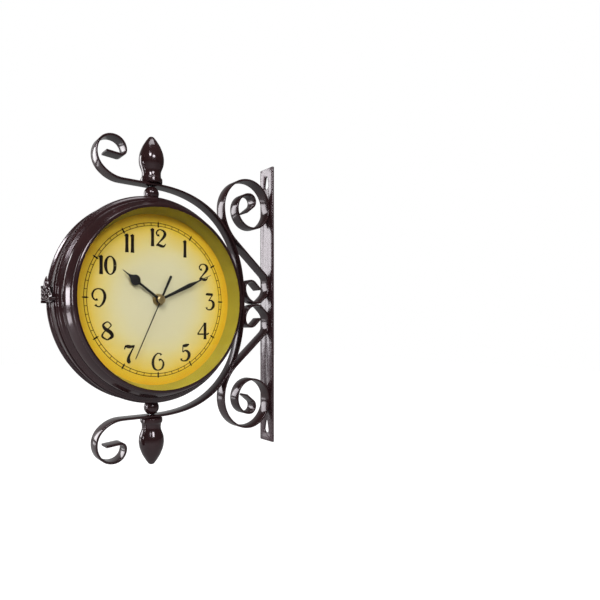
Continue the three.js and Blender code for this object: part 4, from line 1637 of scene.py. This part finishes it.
def spline(points: Sequence[Triple], steps: int) -> list[Triple]:
    """Smooth line through points, by the Catmull-Rom rule.

    Args:
        points: The points, with a width each.
        steps: Points between two of them.

    Returns:
        The smooth line.
    """
    if len(points) == 2:
        return list(points)
    line = []
    ends = [points[0], *points, points[-1]]
    for a, b, c, d in zip(ends, ends[1:], ends[2:], ends[3:]):
        for k in range(steps):
            t = k / steps
            shares = (-t + 2 * t**2 - t**3, 2 - 5 * t**2 + 3 * t**3, t + 4 * t**2 - 3 * t**3, t**3 - t**2)
            line.append(tuple(
                sum(share * value for share, value in zip(shares, values)) / 2 for values in zip(a, b, c, d)
            ))
    line.append(points[-1])
    return line


def ring_stroke(centre: Point, half_size: Point, thin: float, thick: float, steps: int = 16) -> Stroke:
    """Closed oval stroke, thin at its top and bottom and thick at its sides.

    Args:
        centre: Its centre.
        half_size: Half its width and half its height.
        thin: Its width at the top and bottom.
        thick: Its width at the sides.
        steps: Points round it.

    Returns:
        The stroke.
    """
    x, y = centre
    across, tall = half_size
    points = []
    for k in range(steps + 1):
        angle = 2 * math.pi * k / steps
        width = thin + (thick - thin) * math.cos(angle) ** 2
        points.append((x + across * math.cos(angle), y + tall * math.sin(angle), width))
    return Stroke(tuple(points))


# Width of each digit in shares of its height, and its strokes.
DIGITS: dict[str, tuple[float, tuple[Stroke, ...]]] = {
    "0": (0.66, (ring_stroke((0.33, 0.5), (0.265, 0.475), 0.035, 0.125),)),
    "1": (0.29, (
        Stroke(((0.15, 0.0, 0.15), (0.15, 0.3, 0.125), (0.15, 0.7, 0.125), (0.15, 0.975, 0.14))),
        Stroke(((0.01, 0.885, 0.015), (0.09, 0.93, 0.06), (0.2, 0.99, 0.05))),
    )),
    "2": (0.67, (
        Stroke((
            (0.24, 0.66, 0.10), (0.13, 0.64, 0.05), (0.06, 0.77, 0.055), (0.15, 0.92, 0.045),
            (0.33, 0.975, 0.035), (0.53, 0.90, 0.09), (0.60, 0.74, 0.125), (0.50, 0.55, 0.095),
            (0.30, 0.33, 0.05), (0.08, 0.10, 0.03),
        )),
        Stroke((
            (0.05, 0.07, 0.05), (0.18, 0.11, 0.09), (0.36, 0.06, 0.11), (0.53, 0.06, 0.07),
            (0.65, 0.21, 0.02),
        )),
    )),
    "3": (0.64, (
        Stroke(((0.07, 0.86, 0.02), (0.10, 0.93, 0.09), (0.30, 0.935, 0.10), (0.53, 0.93, 0.09))),
        Stroke(((0.54, 0.95, 0.035), (0.24, 0.56, 0.035))),
        Stroke((
            (0.22, 0.55, 0.03), (0.42, 0.57, 0.06), (0.57, 0.43, 0.12), (0.57, 0.23, 0.125),
            (0.42, 0.05, 0.07), (0.24, 0.015, 0.04), (0.11, 0.07, 0.05), (0.09, 0.16, 0.10),
        )),
    )),
    "4": (0.86, (
        Stroke(((0.55, 0.98, 0.03), (0.03, 0.30, 0.04))),
        Stroke(((0.02, 0.295, 0.05), (0.78, 0.295, 0.05))),
        Stroke(((0.72, 0.295, 0.05), (0.83, 0.36, 0.03))),
        Stroke(((0.55, 0.0, 0.125), (0.55, 0.98, 0.125))),
        Stroke(((0.44, 0.015, 0.03), (0.66, 0.015, 0.03))),
    )),
    "5": (0.69, (
        Stroke(((0.19, 0.90, 0.04), (0.30, 0.90, 0.11), (0.46, 0.92, 0.12), (0.63, 0.985, 0.03))),
        Stroke(((0.22, 0.92, 0.035), (0.20, 0.53, 0.035))),
        Stroke((
            (0.20, 0.53, 0.03), (0.39, 0.62, 0.06), (0.59, 0.50, 0.12), (0.63, 0.30, 0.135),
            (0.50, 0.08, 0.08), (0.29, 0.02, 0.04), (0.13, 0.07, 0.05), (0.10, 0.17, 0.11),
        )),
    )),
    "6": (0.78, (
        Stroke((
            (0.60, 0.87, 0.09), (0.52, 0.94, 0.045), (0.34, 0.96, 0.04), (0.13, 0.74, 0.085),
            (0.06, 0.42, 0.11), (0.16, 0.13, 0.075), (0.38, 0.03, 0.035), (0.61, 0.10, 0.06),
            (0.72, 0.30, 0.085), (0.70, 0.49, 0.055), (0.56, 0.62, 0.05), (0.43, 0.58, 0.09),
        )),
    )),
    "7": (0.64, (
        Stroke((
            (0.02, 0.77, 0.03), (0.09, 0.93, 0.07), (0.25, 0.92, 0.13), (0.43, 0.91, 0.10),
            (0.62, 0.975, 0.03),
        )),
        Stroke((
            (0.61, 0.97, 0.035), (0.42, 0.64, 0.055), (0.28, 0.36, 0.10), (0.26, 0.15, 0.15),
            (0.35, 0.03, 0.10),
        )),
    )),
    "8": (0.68, (
        Stroke((
            (0.57, 0.80, 0.04), (0.36, 0.975, 0.035), (0.11, 0.82, 0.07), (0.22, 0.61, 0.12),
            (0.50, 0.43, 0.14), (0.61, 0.21, 0.12), (0.34, 0.02, 0.04),
        )),
        Stroke((
            (0.34, 0.02, 0.04), (0.06, 0.20, 0.065), (0.15, 0.43, 0.04), (0.40, 0.62, 0.035),
            (0.57, 0.80, 0.04),
        )),
    )),
    "9": (0.80, (
        Stroke((
            (0.33, 0.42, 0.09), (0.20, 0.38, 0.05), (0.07, 0.51, 0.055), (0.05, 0.70, 0.075),
            (0.17, 0.90, 0.05), (0.40, 0.97, 0.035), (0.62, 0.88, 0.075), (0.73, 0.60, 0.11),
            (0.65, 0.27, 0.085), (0.45, 0.04, 0.04), (0.28, 0.06, 0.045), (0.20, 0.13, 0.09),
        )),
    )),
}


# ------------------------------------------------------------------ dial side
@dataclass
class DialSide:
    """Glass, liner, dial, hands and works of one side."""

    side: Side
    numeral_radius: float = 69.5
    numeral_height: float = 20.0
    numeral_weight: float = 1.34
    numeral_gap: float = 0.04
    track_radius: float = 84.35
    track_width: float = 3.2
    track_line: float = 0.75
    hour_mark_width: float = 1.9
    hour_mark_length: float = 7.4
    print_low: float = 0.01
    print_high: float = 0.05
    stroke_lift: float = 0.004
    dial_bore: float = 4.25
    dial_edge: float = 0.15
    hand_edge: float = 0.12
    hour_angle: float = -55.5
    minute_angle: float = 65.2
    second_angle: float = 205.4
    hour_bore: float = 2.6
    hour_eye: Point = (4.4, 1.5)
    hour_length: float = 54.0
    hour_disc: float = 5.9
    hour_disc_centre: float = 36.0
    hour_disc_arc: Point = (-75.0, 50.0)
    hour_stalk: Point = (1.3, 1.5)
    hour_spear: tuple[Point, ...] = ((2.3, 0.4), (1.4, 2.2))
    hour_tip: tuple[Point, ...] = ((0.85, 8.0), (0.6, 4.0), (0.35, 0.0))
    minute_bore: float = 1.85
    minute_eye: Point = (3.8, 1.4)
    minute_length: float = 74.0
    minute_half: float = 2.5
    minute_taper: tuple[Point, ...] = (
        (0.72, 0.3), (1.0, 0.57), (0.74, 0.63), (0.42, 0.72), (0.24, 0.84), (0.12, 1.0),
    )
    second_bore: float = 0.84
    second_length: float = 72.5
    second_tip: float = 0.5
    second_hub: tuple[Point, ...] = ((1.2, -3.0), (2.6, -1.4), (3.0, 0.0), (2.6, 1.4), (0.62, 3.0))
    counterweight: float = 30.0
    counterweight_end: tuple[Point, ...] = ((0.8, 0.0), (1.35, 0.5), (1.6, 1.4))
    glass_edge: float = 0.2
    liner_foot: float = 95.6
    liner_foot_rise: float = 0.4
    liner_heel: float = 1.4
    liner_wall: float = 1.0
    liner_lip: float = 0.3
    cap_side: float = 0.35
    cap_drop: float = 0.12
    cap_shoulder: float = 0.72
    cap_crown: float = 0.3
    cap_rounding: Triple = (0.15, 0.5, 1.0)
    ring_steps: int = 200
    liner_steps: int = 240
    cap_steps: int = 72
    track: GeometryTree = field(default_factory=track_tree)

    def __post_init__(self) -> None:
        """Place the side's own frame and its dial."""
        self.place = ClockSizes.side_frame(self.side)
        self.dial_front = ClockSizes.depth(self.node("dial"))[1] / MM

    def node(self, name: str) -> str:
        """Name of one of the side's nodes."""
        return f"{self.side.label}_{name}"

    def span(self, name: str) -> tuple[float, float]:
        """Nearest and furthest distance in millimetres of a node from the case's middle plane."""
        near, far = ClockSizes.depth(self.node(name))
        return near / MM, far / MM

    def put(self, mesh: bpy.types.Mesh, name: str, finish: Finish, body: str, *nodes: str) -> None:
        """Make a piece of a mesh, and let it ride and stand for nodes.

        Args:
            mesh: The mesh.
            name: The piece's name without its side.
            finish: Its finish.
            body: The body that it rides on.
            *nodes: Nodes that it stands for, without their side.
        """
        piece = finish_mesh(self.node(name), mesh, finish)
        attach(piece, body)
        if nodes:
            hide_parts(*[self.node(node) for node in nodes])

    def ring(self, name: str, radii: Point, levels: Point, edge: float = 0.0) -> bpy.types.Mesh:
        """Flat ring round the hands' axis.

        Args:
            name: The mesh's name.
            radii: Its inner and outer radius.
            levels: Heights of its back and its front.
            edge: Rounding of its edges.

        Returns:
            The closed mesh.
        """
        (inner, outer), (low, high) = radii, levels
        spots = ((inner, low), (outer, low), (outer, high), (inner, high))
        corners = [Corner(x, y, edge) for x, y in spots]
        return lathe_mesh(name, rounded(corners, True), self.place, self.ring_steps)

    def dial(self) -> None:
        """Dial disc and the numbers, rings and marks printed on it."""
        outer = ClockSizes.radius(self.node("dial")) / MM
        mesh = self.ring("dial", (self.dial_bore, outer), self.span("dial"), self.dial_edge)
        self.put(mesh, "dial_disc", DIAL, self.side.body, "dial")
        marks = [self.numeral(hour) for hour in range(1, 13)] + self.track_meshes()
        self.put(joined("print", marks), "dial_numbers", INK, self.side.body)

    def track_meshes(self) -> list[bpy.types.Mesh]:
        """Two fine rings with a tick for each minute and a bold mark for each hour.

        Returns:
            Their meshes.
        """
        low, high = self.dial_front + self.print_low, self.dial_front + self.print_high
        line = self.track_line / 2
        meshes = []
        for sign in (-1, 1):
            radius = self.track_radius + sign * self.track_width / 2
            meshes.append(self.ring("line", (radius - line, radius + line), (low, high)))
        ticks = (60, 4, math.sqrt(0.5), self.track_line, self.track_width)
        bold = (12, 12, 0.5, self.hour_mark_width, self.hour_mark_length)
        for count, sides, section, width, length in (ticks, bold):
            mesh = self.track.run(
                "marks", bpy.data.meshes.new("none"), Count=count, Radius=self.track_radius * MM,
                Sides=sides, Section=section, Mark_Width=width * MM, Mark_Length=length * MM,
                Mark_Height=(high - low) * MM, Material=INK.material(),
            )
            mesh.transform(self.place @ Matrix.Translation((0, 0, (low + high) / 2 * MM)))
            meshes.append(clean_mesh(mesh))
        return meshes

    def numeral(self, hour: int) -> bpy.types.Mesh:
        """One hour's number, upright at its place.

        Args:
            hour: From 1 to 12.

        Returns:
            The mesh of its strokes.
        """
        digits = [DIGITS[digit] for digit in str(hour)]
        total = sum(width for width, _ in digits) + self.numeral_gap * (len(digits) - 1)
        angle = math.radians(30 * hour)
        tall = self.numeral_height
        x = self.numeral_radius * math.sin(angle) - total * tall / 2
        y = self.numeral_radius * math.cos(angle) - tall / 2
        low, high = self.dial_front + self.print_low, self.dial_front + self.print_high
        meshes = []
        for width, strokes in digits:
            for i, stroke in enumerate(strokes):
                loop = [(x + px * tall, y + py * tall) for px, py in stroke.outline(self.numeral_weight)]
                meshes.append(plate_mesh("stroke", [loop], low, high + self.stroke_lift * i, self.place))
            x += (width + self.numeral_gap) * tall
        return joined(f"hour_{hour}", meshes)

    def hand(self, name: str, half: Sequence[Point], bore: float, angle: float) -> None:
        """Cut a hand from the right half of its outline and turn it to its place.

        Args:
            name: The hand's node without its side.
            half: Right half of its outline, from the bottom to the tip.
            bore: Radius of its hole.
            angle: Degrees clockwise from twelve.
        """
        low, high = self.span(name)
        outline = [*half, *[(-x, y) for x, y in reversed(half)]]
        turn = self.place @ Matrix.Rotation(-math.radians(angle), 4, "Z")
        hole = arc(bore, 0.0, 2 * math.pi, BORE_STEPS)[:-1]
        mesh = plate_mesh(name, [outline, hole], low, high, turn, self.hand_edge)
        self.put(mesh, f"{name}_plate", HANDS, f"{self.side.label}_{name.split('_')[0]}", name)

    @staticmethod
    def eye(radius: float, stalk: float, seam: float = 0.02) -> list[Point]:
        """Right half of the round eye of a hand, up to where its stalk starts.

        Args:
            radius: The eye's radius.
            stalk: Half the stalk's width.
            seam: Angle that keeps its lowest points apart, in radians.

        Returns:
            Its points, from the bottom.
        """
        return arc(radius, seam - math.pi / 2, math.acos(stalk / radius), EYE_STEPS)

    def hands(self) -> None:
        """Hour hand with a disc and a spear, tapered minute hand and thin second hand."""
        disc, centre = self.hour_disc, self.hour_disc_centre
        stalk, below = self.hour_stalk
        start, end = map(math.radians, self.hour_disc_arc)
        hour = [*self.eye(*self.hour_eye), (stalk, centre - disc - below)]
        hour += arc(disc, start, end, EYE_STEPS, centre)
        hour += [(half, centre + disc + up) for half, up in self.hour_spear]
        hour += [(half, self.hour_length - down) for half, down in self.hour_tip]
        self.hand("hour_hand", hour, self.hour_bore, self.hour_angle)
        minute = self.eye(*self.minute_eye)
        minute += [(x * self.minute_half, y * self.minute_length) for x, y in self.minute_taper]
        self.hand("minute_hand", minute, self.minute_bore, self.minute_angle)
        second = [(half, up - self.counterweight) for half, up in self.counterweight_end]
        second += [*self.second_hub, (self.second_tip, self.second_length)]
        self.hand("second_hand", second, self.second_bore, self.second_angle)

    def hub_cap(self) -> None:
        """Domed brass cap over the hands."""
        low, high = self.span("hub_cap")
        radius = ClockSizes.radius(self.node("hub_cap")) / MM
        foot, side, dome = self.cap_rounding
        corners = [
            Corner(0, low), Corner(radius, low, foot),
            Corner(radius, low + self.cap_side * (high - low), side),
            Corner(self.cap_shoulder * radius, high - self.cap_drop, dome),
            Corner(self.cap_crown * radius, high, dome), Corner(0, high),
        ]
        mesh = lathe_mesh("hub_cap", rounded(corners, False), self.place, self.cap_steps)
        self.put(mesh, "hub_cap_domed", BRASS, f"{self.side.label}_second", "hub_cap")

    def window(self) -> None:
        """Glass and the conical liner behind it."""
        low, high = self.span("glass")
        radius, edge = ClockSizes.radius(self.node("glass")) / MM, self.glass_edge
        corners = [Corner(0, low), Corner(radius, low, edge), Corner(radius, high, edge), Corner(0, high)]
        mesh = lathe_mesh("glass", rounded(corners, False), self.place)
        self.put(mesh, "glass_pane", LENS, self.side.body, "glass")
        low, high = self.span("rim_liner")
        flange = ClockSizes.radius(self.node("rim_liner")) / MM
        foot, wall = self.liner_foot, self.liner_wall
        corners = [
            Corner(foot, low), Corner(flange, low), Corner(flange, low + wall),
            Corner(foot + self.liner_heel * wall, low + wall), Corner(radius, high, edge),
            Corner(radius - wall, high, self.liner_lip), Corner(foot, low + self.liner_foot_rise, edge),
        ]
        mesh = lathe_mesh("liner", rounded(corners, True), self.place, self.liner_steps)
        self.put(mesh, "rim_liner_fine", OLIVE, self.side.body, "rim_liner")

    def build(self) -> None:
        """Make the side's pieces and dress its works."""
        self.dial()
        self.window()
        self.hands()
        self.hub_cap()
        finishes = {
            "retainer": STEEL, "movement_case": MOULDING, "movement_cover": MOULDING, "battery": CELL,
            "stem_washer": BRASS, "stem_nut": BRASS, "setting_arbor": MOULDING, "hour_arbor": BRASS,
            "minute_arbor": BRASS, "second_arbor": STEEL,
        }
        for node, finish in finishes.items():
            dress(self.node(node), finish)


# ------------------------------------------------------------------ studio
@dataclass(frozen=True)
class SoftBox:
    """Square lamp that looks at the clock."""

    name: str
    place: Triple
    width: float
    height: float
    power: float

    def build(self, target: Vector) -> None:
        """Hang the lamp and aim it.

        Args:
            target: What it looks at.
        """
        lamp = bpy.data.lights.new(self.name, "AREA")
        lamp.shape = "RECTANGLE"
        lamp.size = self.width
        lamp.size_y = self.height
        lamp.energy = self.power
        holder = bpy.data.objects.new(self.name, lamp)
        holder.location = self.place
        holder.rotation_euler = (target - Vector(self.place)).to_track_quat("-Z", "Y").to_euler()
        bpy.context.scene.collection.objects.link(holder)


@dataclass
class Studio:
    """Pale floor and backdrop, soft lamps and the camera at the photograph's angle."""

    camera_place: Triple = (-0.4292, -0.5017, -0.0327)
    view_angle: float = -32.74
    lens: float = 28.88
    sensor: float = 36.0
    nearest: float = 0.01
    shift: tuple[float, float] = (0.1635, 0.0479)
    floor_level: float = -0.5
    floor_size: float = 12.0
    floor_tone: float = 0.3
    floor_rough: float = 0.8
    floor_glow: float = 0.95
    world: float = 0.6
    mirrored_world: float = 0.05
    mirrored_backdrop: float = 0.4
    dim_centre: float = 0.8
    dim_width: float = 0.2
    boxes: tuple[SoftBox, ...] = (
        SoftBox("key", (-1.3, -1.5, 1.2), 0.5, 0.5, 18.0),
        SoftBox("fill", (-0.3, -1.9, 0.9), 0.6, 0.4, 12.0),
        SoftBox("side", (-1.65, 0.25, 0.08), 0.45, 0.36, 7.0),
        SoftBox("side_low", (-1.5, 0.35, -0.8), 0.5, 1.2, 12.0),
        SoftBox("top", (-0.2, -0.2, 1.6), 1.0, 0.5, 6.0),
        SoftBox("back", (-1.35, 1.7, 0.5), 0.7, 1.2, 16.0),
        SoftBox("back_low", (-1.25, 1.7, -0.7), 0.7, 0.8, 5.0),
    )

    def camera(self) -> None:
        """Camera level with the clock's middle, its frame moved as in the photograph."""
        lens = bpy.data.cameras.new("camera")
        lens.sensor_width = self.sensor
        lens.lens = self.lens
        lens.shift_x, lens.shift_y = self.shift
        lens.clip_start = self.nearest
        holder = bpy.data.objects.new("camera", lens)
        holder.location = self.camera_place
        holder.rotation_euler = (math.radians(90), 0, math.radians(self.view_angle))
        bpy.context.scene.collection.objects.link(holder)
        bpy.context.scene.camera = holder

    @staticmethod
    def seen(tree: Tree, path: bpy.types.NodeOutputs) -> bpy.types.NodeSocket:
        """Mask of the rays that show the background itself, straight or through glass.

        Args:
            tree: The tree that the mask goes into.
            path: Outputs of its Light Path node.

        Returns:
            One for such a ray, zero for light on its way to the object.
        """
        either = tree.sums("MAXIMUM", path["Is Camera Ray"], path["Is Transmission Ray"])
        bounces = tree.sums("ADD", path["Diffuse Depth"], path["Glossy Depth"])
        return tree.sums("MULTIPLY", either, tree.sums("LESS_THAN", bounces, 0.5))

    def floor(self) -> None:
        """Pale floor that shows white to the camera and keeps a soft shadow."""
        half = self.floor_size / 2
        mesh = bpy.data.meshes.new("floor")
        corners = [(-half, -half), (half, -half), (half, half), (-half, half)]
        mesh.from_pydata([(x, y, self.floor_level) for x, y in corners], [], [(0, 1, 2, 3)])
        piece = bpy.data.objects.new("floor", mesh)
        bpy.context.scene.collection.objects.link(piece)
        material = bpy.data.materials.new("pale_floor")
        material.use_nodes = True
        tree = Tree(material.node_tree)
        shader = material.node_tree.nodes["Principled BSDF"]
        tone = self.floor_tone
        tree.fill(
            shader, Base_Color=(tone, tone, tone, 1.0), Roughness=self.floor_rough,
            Emission_Color=(1.0, 1.0, 1.0, 1.0),
        )
        path = tree.add("ShaderNodeLightPath").outputs
        glow = tree.sums("MULTIPLY", self.seen(tree, path), self.floor_glow)
        tree.put(shader.inputs["Emission Strength"], glow)
        mesh.materials.append(material)

    def sky(self) -> None:
        """World that is white to the camera and a soft grey light to the object."""
        world = bpy.data.worlds.new("studio")
        bpy.context.scene.world = world
        world.use_nodes = True
        tree = Tree(world.node_tree)
        ground = world.node_tree.nodes["Background"]
        path = tree.add("ShaderNodeLightPath").outputs
        way = tree.add("ShaderNodeSeparateXYZ")
        tree.put(way.inputs[0], tree.add("ShaderNodeTexCoord").outputs["Generated"])
        ahead = tree.add("ShaderNodeMapRange", interpolation_type="SMOOTHSTEP")
        tree.fill(
            ahead, Value=way.outputs["Y"], From_Min=self.dim_centre - self.dim_width / 2,
            From_Max=self.dim_centre + self.dim_width / 2,
        )
        mirrored = tree.add("ShaderNodeMapRange")
        tree.fill(mirrored, Value=ahead.outputs[0], To_Min=self.mirrored_world, To_Max=self.mirrored_backdrop)
        unseen = tree.add("ShaderNodeMix", data_type="FLOAT")
        tree.fill(unseen, Factor=path["Is Glossy Ray"], A=self.world, B=mirrored.outputs[0])
        spread = tree.add("ShaderNodeMapRange")
        tree.fill(spread, Value=self.seen(tree, path), To_Min=unseen.outputs[0], To_Max=1.0)
        tree.fill(ground, Color=(1.0, 1.0, 1.0, 1.0), Strength=spread.outputs[0])

    def build(self) -> None:
        """Set up the whole studio."""
        self.camera()
        self.floor()
        self.sky()
        target = Vector((ClockSizes.pivot_x(), 0, 0))
        for box in self.boxes:
            box.build(target)
        bpy.context.scene.view_settings.view_transform = "Standard"


def main() -> None:
    """Build the clock's looks in order."""
    logging.basicConfig(level=logging.INFO, format="%(name)s: %(message)s")
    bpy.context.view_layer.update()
    WallBracket().build()
    for end in End:
        PivotStack(end).build()
    DrumCase().build()
    Latch().build()
    for side in Side:
        DialSide(side).build()
    Studio().build()


if __name__ == "__main__":
    main()
